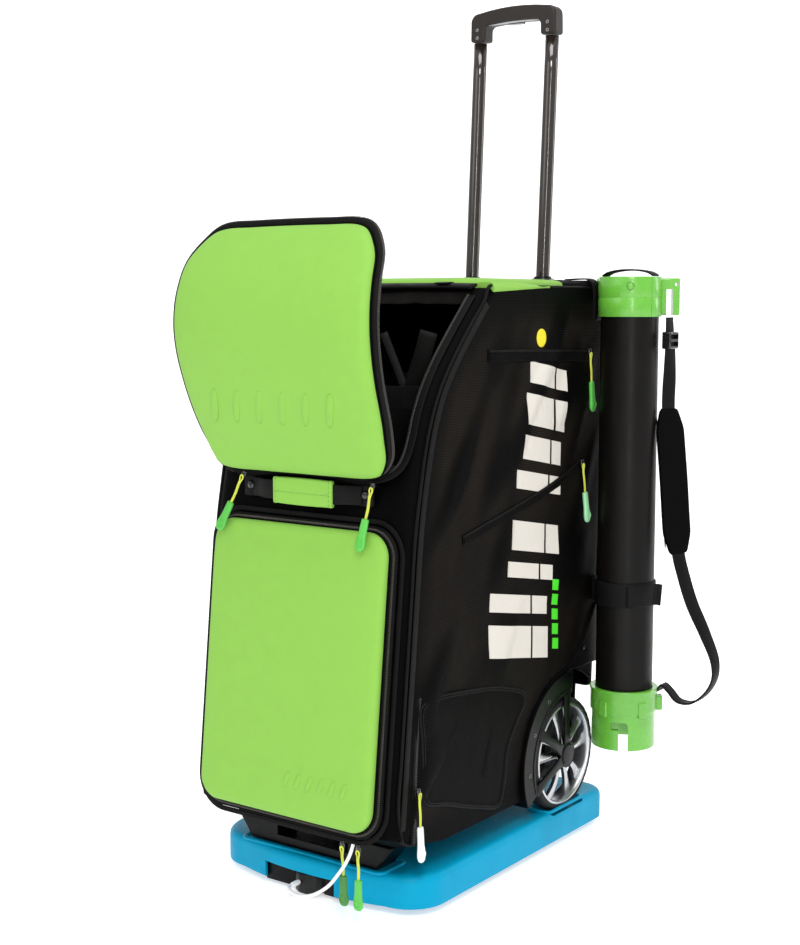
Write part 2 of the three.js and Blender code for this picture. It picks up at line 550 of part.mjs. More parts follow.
function buildTube() {
  const centre = [TUBE.x, TUBE.y];
  addPart('ball_tube', ring(centre, TUBE.bore, TUBE.radius, TUBE.bottom, TUBE.top, 28), 'black', 'plastic');

  const collar = turned(centre, [[TUBE.radius + GAP, 782], [46.5, 782], [46.5, 840], [42, 840], [42, 836],
    [0, 836], [0, TUBE.top + GAP], [TUBE.radius + GAP, TUBE.top + GAP], [TUBE.radius + GAP, 782]], 28);
  const hookBlock = radialBlock(36, [43, 72], 9, [784, 838]);
  const hookSlot = radialBlock(36, [52, 62], 20, [776, 822]);
  const loop = cut(radialBlock(180, [44, 51], 9, [806, 838]), radialBlock(180, [47.4, 49.2], 20, [812, 832]));
  addPart('tube_top_collar', join(collar, cut(hookBlock, hookSlot), loop), 'lime', 'gloss');

  const arch = strap([[-41, 840.8], [-36, 846], [0, 851], [36, 846], [41, 840.8]], 2.4, [-11, 11]);
  addPart('tube_handle_strap', arch, 'black', 'fabric', groupAt(TUBE.x, TUBE.y, 0));

  const slot = (degrees) => join(radialBlock(degrees, [30, 60], 7.5, [120, 172]),
    radialBlock(degrees - 20, [30, 60], 8, [158, 172]));
  const foot = turned(centre, [[TUBE.radius + GAP, 214], [TUBE.radius + GAP, 149], [40, 149], [40, 146],
    [44, 138], [47.5, 138], [47.5, 182], [50, 186], [50, 214], [TUBE.radius + GAP, 214]], 28);
  const eyelet = cut(radialBlock(30, [46, 58], 9, [192, 214]), bar('z', polar(30, 54), 2.4, 190, 216, 12));
  const bottomCollar = join(cut(foot, slot(-62), slot(118)), eyelet);
  addPart('tube_bottom_collar', bottomCollar, 'lime', 'gloss');

  const strapBand = join(ring(centre, TUBE.radius + GAP, TUBE.radius + 3, 354, 390, 28),
    box([BAG.half + GAP, 179.6], [228, 246], [354, 390]));
  addPart('tube_retaining_strap', strapBand, 'black', 'fabric');
  addPart('tube_hanger', prism('y', [[146, 822.4], [158, 832], [171, 832], [171, 822.4]], 228, 250),
    'black', 'plastic');
}

function buildShoulderStrap() {
  const route = [[277, 781], [278, 760], [279, 733], [279, 700], [278, 648], [283, 600], [289, 540],
    [294, 480], [299, 432], [308, 400], [322, 361], [344, 318], [361, 278], [361, 252], [348, 228],
    [326, 211], [304, 211], [290, 224], [278, 232], [272, 222]];
  const strapSolid = (grow) => strap(route, 2.6 + 2 * grow, [250 - grow, 272 + grow]);
  addPart('shoulder_strap', strapSolid(0), 'black', 'fabric');
  const buckle = box([271, 286], [246, 276], [734, 761]);
  addPart('strap_buckle', cut(buckle, strapSolid(GAP)), 'black', 'plastic');
  const pad = strap([[278, 648], [283, 600], [289, 540], [294, 480], [299, 432]], 10, [238, 284]);
  addPart('shoulder_pad', cut(pad, strapSolid(GAP)), 'black', 'foam');
}

// ---------- zip pulls and lead ----------
// A zip slider, a short cord and a moulded tab, hanging from `top` towards `end`.
function zipPull(name, top, end, colour) {
  const from = new THREE.Vector3(...top);
  const hang = new THREE.Vector3(...end).sub(from);
  const length = hang.length();
  const tab = length * 0.46;
  const slider = box([-4, 4], [-2.6, 2.6], [-9, 1]);
  const cord = bar('z', [0, 0], 1.5, -length + tab - 2, -8, 6);
  const body = prism('y', roundedOutline([-4.6, 4.6], [-length + 4, -length + tab], 2), -2.6, 2.6);
  const bulb = bar('y', [0, -length + 6], 6, -2.8, 2.8, 10);
  const group = groupAt(...top);
  group.quaternion.setFromUnitVectors(new THREE.Vector3(0, 0, -1), hang.normalize());
  if (Math.abs(top[0]) > BAG.half) group.rotateZ(Math.PI / 2);
  addPart(name, join(slider, cord, body, bulb), colour, 'plastic', group);
}

function buildPulls() {
  zipPull('flap_pull_right', [122, -256, 571], [108, -266, 494], 'lime');
  zipPull('flap_pull_left', [-97, -256, 571], [-134, -266, 498], 'lime');
  zipPull('door_pull_left', [103, -295, 105], [105, -295, 27], 'lime');
  zipPull('door_pull_right', [129, -295, 105], [128, -295, 26], 'lime');
  zipPull('side_pull_upper', [177, 204, 727], [177, 216, 641], 'lime');
  zipPull('side_pull_middle', [177, 184, 564], [177, 200, 477], 'lime');
  zipPull('side_pull_lower', [177, -232, 173], [177, -231, 83], 'white');
}

// The lead leaves the zip at the door's lower edge and ends in the drive housing's socket.
const LEAD = [[114, -287, 109], [114, -294, 97], [108, -299, 82], [99, -302, 68], [89, -304, 55],
  [76, -304, 44], [60, -303, 34], [43, -299, 27], [27, -293, 22], [12, -287, 20], [0, -281, 20.5],
  [-5, -275, 21.2], [-5.2, -270.7, 21.2]];

function buildLead() {
  addPart('power_lead', tubeAlong(LEAD, 2.3, 8, 32), 'white', 'plastic');
  const plug = join(bar('y', [-5.2, 21.2], 3.6, -270.2, -255, 10), bar('y', [-5.2, 21.2], 2.8, -256, -253.6, 10));
  addPart('lead_plug', plug, 'white', 'plastic');
}

buildStand();
buildTurntable();
buildBag();
buildTrolley();
buildRunningGear();
buildFeed();
buildChassis();
buildLauncher();
buildTube();
buildShoulderStrap();
buildPulls();
buildLead();

export default machine;
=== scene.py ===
"""Tennis ball machine in a trolley bag on a turntable: the visual model over the CAD frame.

Lengths in this script are millimetres in the frame of the CAD, turned into metres when a mesh is made.
"""
import math

import bmesh
import bpy
from mathutils import Matrix, Vector, noise
from mathutils.bvhtree import BVHTree


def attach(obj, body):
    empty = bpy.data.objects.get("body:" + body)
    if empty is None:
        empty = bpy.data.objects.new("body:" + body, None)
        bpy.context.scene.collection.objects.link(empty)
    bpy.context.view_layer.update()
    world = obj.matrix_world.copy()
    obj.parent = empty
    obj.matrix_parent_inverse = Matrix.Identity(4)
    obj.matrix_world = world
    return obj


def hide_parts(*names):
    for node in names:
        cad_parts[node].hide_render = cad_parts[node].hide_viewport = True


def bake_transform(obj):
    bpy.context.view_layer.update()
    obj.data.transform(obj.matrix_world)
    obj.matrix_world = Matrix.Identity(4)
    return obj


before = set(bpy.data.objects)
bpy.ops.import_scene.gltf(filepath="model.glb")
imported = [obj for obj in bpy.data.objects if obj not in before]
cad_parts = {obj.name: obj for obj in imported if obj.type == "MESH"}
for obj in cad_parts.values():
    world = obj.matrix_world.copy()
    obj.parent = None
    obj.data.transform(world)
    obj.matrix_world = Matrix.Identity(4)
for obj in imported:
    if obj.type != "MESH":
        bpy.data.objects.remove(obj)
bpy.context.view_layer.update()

MM = 0.001
TABLE = "turntable"
SIDES = ((1, "right"), (-1, "left"))
scene = bpy.context.scene


# ---------- colours and materials ----------
def srgb(r, g, b):
    """A colour given from 0 to 255 as the linear colour a shader takes."""
    def linear(c):
        c /= 255
        return c / 12.92 if c <= 0.04045 else ((c + 0.055) / 1.055) ** 2.4
    return (linear(r), linear(g), linear(b), 1.0)


class Shader:
    """A material's node tree with short calls for the textures used here."""

    def __init__(self, name, colour, rough, metal=0.0, **sockets):
        self.material = bpy.data.materials.new(name)
        self.material.use_nodes = True
        self.nodes = self.material.node_tree.nodes
        self.links = self.material.node_tree.links
        self.bsdf = self.nodes["Principled BSDF"]
        self.set(self.bsdf, "Base Color", colour)
        self.set(self.bsdf, "Roughness", rough)
        self.set(self.bsdf, "Metallic", metal)
        for key, value in sockets.items():
            self.set(self.bsdf, key.replace("_", " "), value)
        self.place = self.nodes.new("ShaderNodeTexCoord").outputs["Object"]
        self.height = None

    def set(self, node, socket, value):
        if isinstance(value, bpy.types.NodeSocket):
            self.links.new(value, node.inputs[socket])
        else:
            node.inputs[socket].default_value = value

    def noise(self, scale, detail=3.0, rough=0.55, where=None):
        node = self.nodes.new("ShaderNodeTexNoise")
        self.links.new(where or self.place, node.inputs["Vector"])
        self.set(node, "Scale", scale)
        self.set(node, "Detail", detail)
        self.set(node, "Roughness", rough)
        return node.outputs["Fac"]

    def stretch(self, x, y, z):
        node = self.nodes.new("ShaderNodeMapping")
        self.links.new(self.place, node.inputs["Vector"])
        node.inputs["Scale"].default_value = (x, y, z)
        return node.outputs["Vector"]

    def math(self, kind, *values):
        node = self.nodes.new("ShaderNodeMath")
        node.operation = kind
        for index, value in enumerate(values):
            self.set(node, index, value)
        return node.outputs[0]

    def axes(self):
        node = self.nodes.new("ShaderNodeSeparateXYZ")
        self.links.new(self.place, node.inputs[0])
        return node.outputs

    def stripes(self, value, pitch):
        """0 to 1 and back along value once every pitch millimetres."""
        wave = self.math("SINE", self.math("MULTIPLY", value, 2 * math.pi / (pitch * MM)))
        return self.math("MULTIPLY_ADD", wave, 0.5, 0.5)

    def between(self, value, low, high, low_to, high_to):
        node = self.nodes.new("ShaderNodeMapRange")
        self.set(node, "Value", value)
        for key, number in (("From Min", low), ("From Max", high), ("To Min", low_to), ("To Max", high_to)):
            node.inputs[key].default_value = number
        return node.outputs["Result"]

    def ramp(self, value, *stops):
        node = self.nodes.new("ShaderNodeValToRGB")
        self.links.new(value, node.inputs["Fac"])
        elements = node.color_ramp.elements
        while len(elements) < len(stops):
            elements.new(0.5)
        for element, (at, colour) in zip(elements, stops):
            element.position = at
            element.color = colour
        return node.outputs["Color"]

    def bump(self, height, strength, depth_mm):
        node = self.nodes.new("ShaderNodeBump")
        self.set(node, "Strength", strength)
        self.set(node, "Distance", depth_mm * MM)
        self.links.new(height, node.inputs["Height"])
        if self.height is not None:
            self.links.new(self.height, node.inputs["Normal"])
        self.height = node.outputs["Normal"]
        self.links.new(self.height, self.bsdf.inputs["Normal"])

    def colour(self, output):
        self.links.new(output, self.bsdf.inputs["Base Color"])

    def rough(self, output):
        self.links.new(output, self.bsdf.inputs["Roughness"])


def shade(colour, factor):
    """The colour made lighter or darker."""
    return tuple(min(1.0, c * factor) for c in colour[:3]) + (1.0,)


def foam_cloth(name, colour):
    """Moulded foam faced with a fine knit: soft, slightly mottled, with a faint weave."""
    s = Shader(name, colour, 0.62, Sheen_Weight=0.05, Sheen_Roughness=0.5, Specular_IOR_Level=0.22)
    x, y, z = s.axes()
    across = s.math("ADD", x, y)
    weave = s.math("MULTIPLY", s.stripes(across, 1.3), s.stripes(z, 1.3))
    mottle = s.noise(55, 4)
    blend = s.math("MULTIPLY_ADD", weave, 0.3, s.between(mottle, 0.3, 0.7, 0.3, 0.5))
    s.colour(s.ramp(blend, (0.0, shade(colour, 0.86)), (0.5, colour), (1.0, shade(colour, 1.06))))
    s.rough(s.between(mottle, 0.3, 0.7, 0.55, 0.7))
    s.bump(weave, 0.25, 0.25)
    s.bump(s.noise(9, 1), 0.10, 2.0)
    return s.material


def ripstop(name, colour, pitch=3.4, sheen_and_wear_colour=None):
    """Coated polyester with fine rows of raised stitches and a ripstop grid. Where a mesh has the attribute fold, its
    ridges are mixed towards a second, lighter colour: partly rubbed wear and partly a painted highlight on the folds."""
    s = Shader(name, colour, 0.5, Specular_IOR_Level=0.03)
    x, y, z = s.axes()
    across = s.math("ADD", x, y)
    rows = s.math("POWER", s.stripes(z, pitch), 3.0)
    dots = s.math("MULTIPLY_ADD", s.stripes(across, pitch * 0.55), 0.65, 0.35)
    weave = s.math("MULTIPLY", rows, dots)
    grime = s.noise(9, 5)
    mixed = s.math("MULTIPLY_ADD", weave, 0.55, s.between(grime, 0.3, 0.7, 0.0, 0.4))
    cloth = s.ramp(mixed, (0.0, shade(colour, 0.6)), (0.5, shade(colour, 1.1)), (1.0, shade(colour, 3.2)))
    # painted highlight, partly rubbed wear: the ridges of the folds are mixed towards the lighter second colour
    if sheen_and_wear_colour:
        fold = s.nodes.new("ShaderNodeAttribute")
        fold.attribute_name = "fold"
        sheen_and_wear_mix = s.nodes.new("ShaderNodeMix")
        sheen_and_wear_mix.data_type, sheen_and_wear_mix.blend_type = "RGBA", "MIX"
        s.links.new(s.math("POWER", fold.outputs["Fac"], 1.6), sheen_and_wear_mix.inputs[0])
        s.links.new(cloth, sheen_and_wear_mix.inputs[6])
        bright = s.ramp(mixed, (0.0, shade(sheen_and_wear_colour, 0.6)), (0.5, sheen_and_wear_colour), (1.0, shade(sheen_and_wear_colour, 2.0)))
        s.links.new(bright, sheen_and_wear_mix.inputs[7])
        cloth = sheen_and_wear_mix.outputs[2]
    s.colour(cloth)
    s.rough(s.between(weave, 0.0, 1.0, 0.6, 0.36))
    s.bump(weave, 0.35, 0.3)
    s.bump(s.noise(14, 3, where=s.stretch(1.0, 1.0, 0.5)), 0.35, 4.0)
    return s.material


def webbing(name, colour, pitch=1.7):
    """Woven strap with ribs along it and a herringbone across."""
    s = Shader(name, colour, 0.5, Specular_IOR_Level=0.10)
    x, y, z = s.axes()
    across = s.math("ADD", x, y)
    slant = s.math("ADD", across, z)
    ribs = s.math("MULTIPLY", s.stripes(z, pitch), s.stripes(slant, pitch * 1.3))
    fade = s.noise(30, 3)
    mixed = s.math("MULTIPLY_ADD", ribs, 0.6, s.between(fade, 0.3, 0.7, 0.0, 0.35))
    s.colour(s.ramp(mixed, (0.0, shade(colour, 0.65)), (0.5, colour), (1.0, shade(colour, 2.4))))
    s.rough(s.between(fade, 0.3, 0.7, 0.45, 0.6))
    s.bump(ribs, 0.5, 0.35)
    return s.material


def moulded(name, colour, rough=0.4, grain=0.12, coat=0.0, wear=1.25, spec=0.5):
    """Moulded plastic or coated metal: fine grain, uneven gloss and lighter scuffed patches."""
    s = Shader(name, colour, rough, Coat_Weight=coat, Coat_Roughness=0.12, Specular_IOR_Level=spec)
    patches = s.noise(16, 6, 0.6)
    s.colour(s.ramp(patches, (0.25, shade(colour, 0.86)), (0.5, colour), (0.85, shade(colour, wear))))
    smears = s.noise(38, 5, 0.65)
    s.rough(s.between(smears, 0.3, 0.7, max(0.04, rough - 0.08), rough + 0.08))
    s.bump(s.noise(900, 2), grain, 0.15)
    s.bump(s.noise(12, 2), 0.08, 0.8)
    return s.material


def brushed(name, colour, rough, stretch, scale=260):
    """Metal with fine drawn lines in one direction and faint smears."""
    s = Shader(name, colour, rough, 1.0, Specular_IOR_Level=0.5)
    lines = s.noise(scale, 4, where=s.stretch(*stretch))
    smears = s.noise(24, 5)
    s.colour(s.ramp(lines, (0.3, shade(colour, 0.9)), (0.7, shade(colour, 1.05))))
    s.rough(s.between(smears, 0.3, 0.7, max(0.05, rough - 0.07), rough + 0.1))
    s.bump(lines, 0.08, 0.1)
    return s.material


def rubber(name, colour, rough=0.75):
    """Dusty black or grey rubber."""
    s = Shader(name, colour, rough, Specular_IOR_Level=0.35)
    dust = s.noise(26, 6, 0.7)
    s.colour(s.ramp(dust, (0.3, shade(colour, 0.8)), (0.6, colour), (0.9, shade(colour, 2.2))))
    s.rough(s.between(dust, 0.3, 0.8, rough - 0.08, min(1.0, rough + 0.15)))
    s.bump(s.noise(420, 3), 0.25, 0.3)
    return s.material


def print_ink(name, colour):
    """Screen print on cloth, slightly broken along its threads."""
    s = Shader(name, colour, 0.5, Specular_IOR_Level=0.4)
    rows = s.stripes(s.axes()["Z"], 1.7)
    crack = s.noise(120, 4)
    s.colour(s.ramp(s.math("MULTIPLY", rows, crack), (0.0, shade(colour, 0.9)), (0.5, colour)))
    s.rough(s.between(crack, 0.3, 0.7, 0.42, 0.58))
    s.bump(rows, 0.15, 0.15)
    return s.material


GREEN = srgb(129, 181, 73)
LIME = srgb(98, 172, 57)
# for each look the slot it belongs to and its material
LOOK = {
    "foam": ("foam_green", foam_cloth("green_foam_cloth", GREEN)),
    # the black ripstop's second colour lightens the side walls' fold ridges: partly rubbed wear, partly a painted
    # highlight
    "ripstop": ("bag_fabric", ripstop("black_ripstop", srgb(4, 4, 4), sheen_and_wear_colour=srgb(31, 27, 23))),
    "plain": ("bag_fabric", ripstop("black_polyester", srgb(9, 8, 8), 1.9)),
    "lining": ("bag_fabric", webbing("black_lining", srgb(12, 12, 13), 3.2)),
    "satin": ("bag_fabric", webbing("black_binding", srgb(13, 12, 12), 1.2)),
    "mesh": ("bag_fabric", webbing("black_mesh", srgb(21, 20, 19), 3.4)),
    "valance": ("bag_fabric", ripstop("black_hem_cloth", srgb(36, 33, 32), 1.4)),
    # grey coil teeth, lighter than the black tape: partly their own grey, partly a painted highlight for the glints the
    # teeth catch
    "teeth": ("black_plastic", moulded("zip_teeth_grey", srgb(58, 54, 50), 0.35, 0.05, 0.0, 1.4, spec=0.4)),
    "guard": ("black_plastic", moulded("black_guard_plastic", srgb(5, 5, 6), 0.34, 0.2, 0.0, 1.8, spec=0.14)),
    "webbing": ("webbing", webbing("black_webbing", srgb(17, 16, 16))),
    "lime": ("lime_plastic", moulded("lime_plastic", LIME, 0.28, 0.05, 0.25, 1.12)),
    "blue": ("tray_blue", moulded("tray_blue", srgb(0, 148, 187), 0.42, 0.10, 0.0, 1.06, spec=0.09)),
    "black": ("black_plastic", moulded("black_plastic", srgb(18, 18, 19), 0.42, 0.2, 0.0, 1.7, spec=0.25)),
    "satin_tube": ("tube_black", moulded("tube_black", srgb(14, 12, 11), 0.40, 0.10, 0.0, 1.4, spec=0.14)),
    "gloss": ("black_plastic", moulded("black_gloss_plastic", srgb(16, 16, 18), 0.2, 0.03, 0.4, 1.6)),
    "rod": ("rod_black", moulded("rod_black_coat", srgb(34, 26, 20), 0.12, 0.02, 0.0, 1.5, spec=0.9)),
    "grip": ("black_plastic", moulded("grip_brown_black", srgb(36, 31, 28), 0.42, 0.3, 0.0, 1.4, spec=0.3)),
    "rim": ("rim_silver", brushed("rim_polished", srgb(186, 187, 190), 0.3, (1.0, 1.0, 1.0), 60)),
    "steel": ("steel", brushed("steel", srgb(150, 153, 158), 0.3, (0.04, 1.0, 1.0))),
    "tyre": ("tyre_rubber", rubber("tyre_rubber", srgb(24, 24, 25))),
    "soft_rubber": ("soft_rubber", rubber("grey_rubber", srgb(74, 77, 80), 0.85)),
    "white": ("lead_white", moulded("white_plastic", srgb(232, 232, 235), 0.42, 0.05, 0.05, 1.05)),
    "ink_white": ("bag_fabric", print_ink("white_print", srgb(207, 202, 193))),
    "ink_green": ("bag_fabric", print_ink("green_print", srgb(70, 214, 34))),
    "ink_yellow": ("bag_fabric", print_ink("yellow_badge", srgb(222, 210, 22))),
    "cord": ("webbing", webbing("yellow_cord", srgb(205, 214, 84), 1.4)),
    "tab_green": ("pull_green", moulded("tab_green", srgb(80, 178, 66), 0.4, 0.1, 0.05, 1.2)),
    "tab_dark": ("pull_green", moulded("tab_dark_green", srgb(54, 122, 44), 0.42, 0.1, 0.05, 1.3)),
    "tab_pale": ("pull_green", moulded("tab_pale_green", srgb(150, 214, 160), 0.42, 0.1, 0.05, 1.1)),
    "tab_white": ("pull_white", moulded("tab_white", srgb(226, 228, 226), 0.45, 0.1, 0.05, 1.05)),
}


# ---------- mesh helpers ----------
def share(value):
    """The value held between 0 and 1."""
    return max(0.0, min(1.0, value))


def piece(name, points, faces, material, body=TABLE, replaces=()):
    """A mesh object from millimetre points, riding on a body. body None leaves it free."""
    mesh = bpy.data.meshes.new(name)
    mesh.from_pydata([Vector(p) * MM for p in points], [], faces)
    mesh.validate()
    made = bmesh.new()
    made.from_mesh(mesh)
    bmesh.ops.remove_doubles(made, verts=made.verts, dist=1e-6)
    bmesh.ops.recalc_face_normals(made, faces=made.faces)
    made.to_mesh(mesh)
    made.free()
    for polygon in mesh.polygons:
        polygon.use_smooth = True
    obj = bpy.data.objects.new(name, mesh)
    scene.collection.objects.link(obj)
    slot, look = LOOK[material]
    obj.data.materials.append(look)
    if body is not None:
        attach(obj, body)
    if replaces:
        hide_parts(*replaces)
    return obj


def apply_modifier(obj, kind, **settings):
    """Adds a modifier with these settings and applies it."""
    modifier = obj.modifiers.new(kind.lower(), kind)
    for key, value in settings.items():
        setattr(modifier, key, value)
    with bpy.context.temp_override(object=obj, active_object=obj, selected_objects=[obj]):
        bpy.ops.object.modifier_apply(modifier=modifier.name)
    return obj


def sharpen(obj, degrees=35):
    """Marks edges sharper than the angle, so that smooth shading keeps them crisp."""
    limit = math.radians(degrees)
    made = bmesh.new()
    made.from_mesh(obj.data)
    for edge in made.edges:
        if len(edge.link_faces) == 2 and edge.calc_face_angle(0) > limit:
            edge.smooth = False
    made.to_mesh(obj.data)
    made.free()
    return obj


def rounded_off(obj, width_mm, segments=2, degrees=30):
    """Rounds the edges sharper than the angle."""
    apply_modifier(obj, "BEVEL", width=width_mm * MM, segments=segments, limit_method="ANGLE",
                   angle_limit=math.radians(degrees), harden_normals=False)
    return sharpen(obj, 50)


def carve(obj, *tools):
    """Cuts the tools out of obj and deletes them."""
    for tool in tools:
        apply_modifier(obj, "BOOLEAN", operation="DIFFERENCE", solver="EXACT", object=tool)
        bpy.data.objects.remove(tool)
    return obj


def merged(name, *parts):
    """Joins pieces into one mesh object without cutting them."""
    made = bmesh.new()
    first = parts[0]
    for part in parts:
        made.from_mesh(part.data)
    made.to_mesh(first.data)
    made.free()
    for part in parts[1:]:
        bpy.data.objects.remove(part)
    first.name = name
    return first


def skin(rows, closed_ring=True, closed_path=False, caps=True):
    """Points and faces over rows of equal length."""
    count = len(rows[0])
    points = [p for row in rows for p in row]
    faces = []
    levels = len(rows) if closed_path else len(rows) - 1
    for level in range(levels):
        below, above = level * count, ((level + 1) % len(rows)) * count
        for i in range(count if closed_ring else count - 1):
            j = (i + 1) % count
            faces.append((below + i, below + j, above + j, above + i))
    if caps and closed_ring and not closed_path:
        faces.append(tuple(range(count))[::-1])
        faces.append(tuple((len(rows) - 1) * count + i for i in range(count)))
    return points, faces


def skinned(name, rows, material, body=TABLE, replaces=(), closed_path=False):
    """A mesh object over rows of points, with closed ends unless the last row joins the first."""
    points, faces = skin(rows, closed_path=closed_path, caps=not closed_path)
    return piece(name, points, faces, material, body, replaces)


def smooth_path(points, step=6.0, closed=False):
    """A centripetal Catmull-Rom curve through the points, sampled about every step millimetres."""
    knots = [Vector(p) for p in points]
    count = len(knots)
    out = []
    spans = count if closed else count - 1
    for i in range(spans):
        if closed:
            p0, p1, p2, p3 = (knots[(i + k) % count] for k in (-1, 0, 1, 2))
        else:
            p1, p2 = knots[i], knots[i + 1]
            p0 = knots[i - 1] if i else p1 * 2 - p2
            p3 = knots[i + 2] if i + 2 < count else p2 * 2 - p1
        t0 = 0.0
        t1 = t0 + max(1e-4, (p1 - p0).length ** 0.5)
        t2 = t1 + max(1e-4, (p2 - p1).length ** 0.5)
        t3 = t2 + max(1e-4, (p3 - p2).length ** 0.5)
        parts = max(1, round((p2 - p1).length / step))
        for k in range(parts):
            t = t1 + (t2 - t1) * k / parts
            a1 = p0 * ((t1 - t) / (t1 - t0)) + p1 * ((t - t0) / (t1 - t0))
            a2 = p1 * ((t2 - t) / (t2 - t1)) + p2 * ((t - t1) / (t2 - t1))
            a3 = p2 * ((t3 - t) / (t3 - t2)) + p3 * ((t - t2) / (t3 - t2))
            b1 = a1 * ((t2 - t) / (t2 - t0)) + a2 * ((t - t0) / (t2 - t0))
            b2 = a2 * ((t3 - t) / (t3 - t1)) + a3 * ((t - t1) / (t3 - t1))
            out.append(b1 * ((t2 - t) / (t2 - t1)) + b2 * ((t - t1) / (t2 - t1)))
    if not closed:
        out.append(knots[-1].copy())
    return out


def even_path(points, step, closed=False):
    """The same polyline with points every step millimetres."""
    line = [Vector(p) for p in points]
    if closed:
        line.append(line[0])
    lengths = [(b - a).length for a, b in zip(line, line[1:])]
    total = sum(lengths)
    count = max(2, round(total / step))
    out, at, walked = [], 0, 0.0
    for k in range(count if closed else count + 1):
        want = total * k / count
        while at < len(lengths) - 1 and walked + lengths[at] < want:
            walked += lengths[at]
            at += 1
        part = (want - walked) / max(lengths[at], 1e-9)
        out.append(line[at].lerp(line[at + 1], min(1.0, part)))
    return out


def tangents(path, closed=False):
    """The direction of a path at each of its points."""
    count = len(path)
    out = []
    for i in range(count):
        before = path[i - 1] if i or closed else path[i]
        after = path[(i + 1) % count] if i + 1 < count or closed else path[i]
        out.append((after - before).normalized())
    return out


def sweep(name, path, profile, material, body=TABLE, up=None, closed=False, replaces=(), scale=None):
    """Sweeps profile points (side, up) along a path. up is a vector or one vector for each point."""
    path = [Vector(p) for p in path]
    along = tangents(path, closed)
    rows = []
    normal = None
    for i, (at, t) in enumerate(zip(path, along)):
        if up is not None:
            lift = Vector(up[i] if isinstance(up[0], (tuple, list, Vector)) else up)
            side = t.cross(lift).normalized()
            normal = side.cross(t).normalized()
        else:
            if normal is None:
                seed = Vector((0, 0, 1)) if abs(t.z) < 0.9 else Vector((0, 1, 0))
                normal = (seed - t * seed.dot(t)).normalized()
            else:
                normal = (normal - t * normal.dot(t)).normalized()
            side = t.cross(normal)
        size = scale(i / max(1, len(path) - 1)) if scale else 1.0
        rows.append([at + side * (a * size) + normal * (b * size) for a, b in profile])
    points, faces = skin(rows, True, closed)
    return piece(name, points, faces, material, body, replaces)


def circle(radius, sides=10):
    """Points round the origin."""
    return [(radius * math.cos(2 * math.pi * i / sides), radius * math.sin(2 * math.pi * i / sides))
            for i in range(sides)]


def arc(x, y, radius, start, stop, parts=6):
    """Points of an arc about (x, y), its angles in degrees."""
    angles = [math.radians(start + (stop - start) * k / parts) for k in range(parts + 1)]
    return [(x + radius * math.cos(a), y + radius * math.sin(a)) for a in angles]


def flat_profile(width, thick, parts=3):
    """A flat strap's section with rounded edges."""
    r = thick / 2
    w = width / 2 - r
    return arc(w, 0, r, -90, 90, parts) + arc(-w, 0, r, 90, 270, parts)


def turned(name, centre, profile, material, body=TABLE, sides=72, axis="z", closed=True, replaces=()):
    """A lathe about an axis through centre; profile is (radius, height along the axis)."""
    rows = []
    for r, h in profile:
        row = []
        for i in range(sides):
            a = 2 * math.pi * i / sides
            c, s = r * math.cos(a), r * math.sin(a)
            if axis == "z":
                row.append((centre[0] + c, centre[1] + s, h))
            elif axis == "x":
                row.append((h, centre[0] + c, centre[1] + s))
            else:
                row.append((centre[0] + c, h, centre[1] + s))
        rows.append(row)
    points, faces = skin(rows, True, closed, caps=not closed)
    return sharpen(piece(name, points, faces, material, body, replaces), 40)


def bore(centre, radius, low, high, sides=32, axis="z"):
    """A round tool for carve."""
    return turned("bore", centre, [(radius, low), (radius, high)], "black", None, sides, axis, closed=False)


def outline_box(x0, x1, y0, y1, r, parts=6):
    """A rounded rectangle's points, anticlockwise from the lower right corner."""
    out = []
    for cx, cy, start in ((x1 - r, y0 + r, -90), (x1 - r, y1 - r, 0), (x0 + r, y1 - r, 90), (x0 + r, y0 + r, 180)):
        out += arc(cx, cy, r, start, start + 90, parts)
    return out


def slab(name, outline, axis, low, high, material, body=TABLE, bevel=0.0, segments=2, replaces=()):
    """An outline extruded along an axis, with its edges rounded by bevel."""
    def at(a, b, h):
        return {"x": (h, a, b), "y": (a, h, b), "z": (a, b, h)}[axis]
    count = len(outline)
    points = [at(a, b, low) for a, b in outline] + [at(a, b, high) for a, b in outline]
    faces = [tuple(range(count)), tuple(range(count, 2 * count))[::-1]]
    faces += [(i, (i + 1) % count, count + (i + 1) % count, count + i) for i in range(count)]
    obj = piece(name, points, faces, material, body, replaces)
    if bevel:
        rounded_off(obj, bevel, segments)
    else:
        sharpen(obj, 30)
    return obj


def block(name, x, y, z, material, body=TABLE, bevel=0.0, turn=0.0, about=(0, 0)):
    """A box, if wanted turned about a vertical line, with rounded edges."""
    obj = slab(name, [(x[0], y[0]), (x[1], y[0]), (x[1], y[1]), (x[0], y[1])], "z", z[0], z[1], material, None)
    if bevel:
        rounded_off(obj, bevel, 3)
    if turn or about != (0, 0):
        place = Matrix.Translation((about[0] * MM, about[1] * MM, 0))
        obj.data.transform(place @ Matrix.Rotation(math.radians(turn), 4, "Z"))
    if body:
        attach(obj, body)
    return obj


STITCH, STITCH_GAP, TOOTH_PITCH = 3.2, 2.4, 2.6


def stitches(name, path, material, body=TABLE, *, lift, radius=0.45, closed=False):
    """A row of small thread stitches along a path."""
    line = even_path(path, (STITCH + STITCH_GAP) / 2, closed)
    rows_points, rows_faces = [], []
    for k in range(0, len(line) - 1, 2):
        a, b = line[k], line[k + 1]
        t = (b - a).normalized()
        n = Vector(lift)
        side = t.cross(n).normalized()
        base = len(rows_points)
        for s, h in ((0.0, 0.0), (0.25, radius), (0.75, radius), (1.0, 0.0)):
            mid = a.lerp(b, s) + n * h
            width = radius if 0 < s < 1 else radius * 0.5
            rows_points += [mid - side * width, mid + side * width]
        for r in range(3):
            rows_faces.append((base + 2 * r, base + 2 * r + 1, base + 2 * r + 3, base + 2 * r + 2))
    return piece(name, rows_points, rows_faces, material, body)


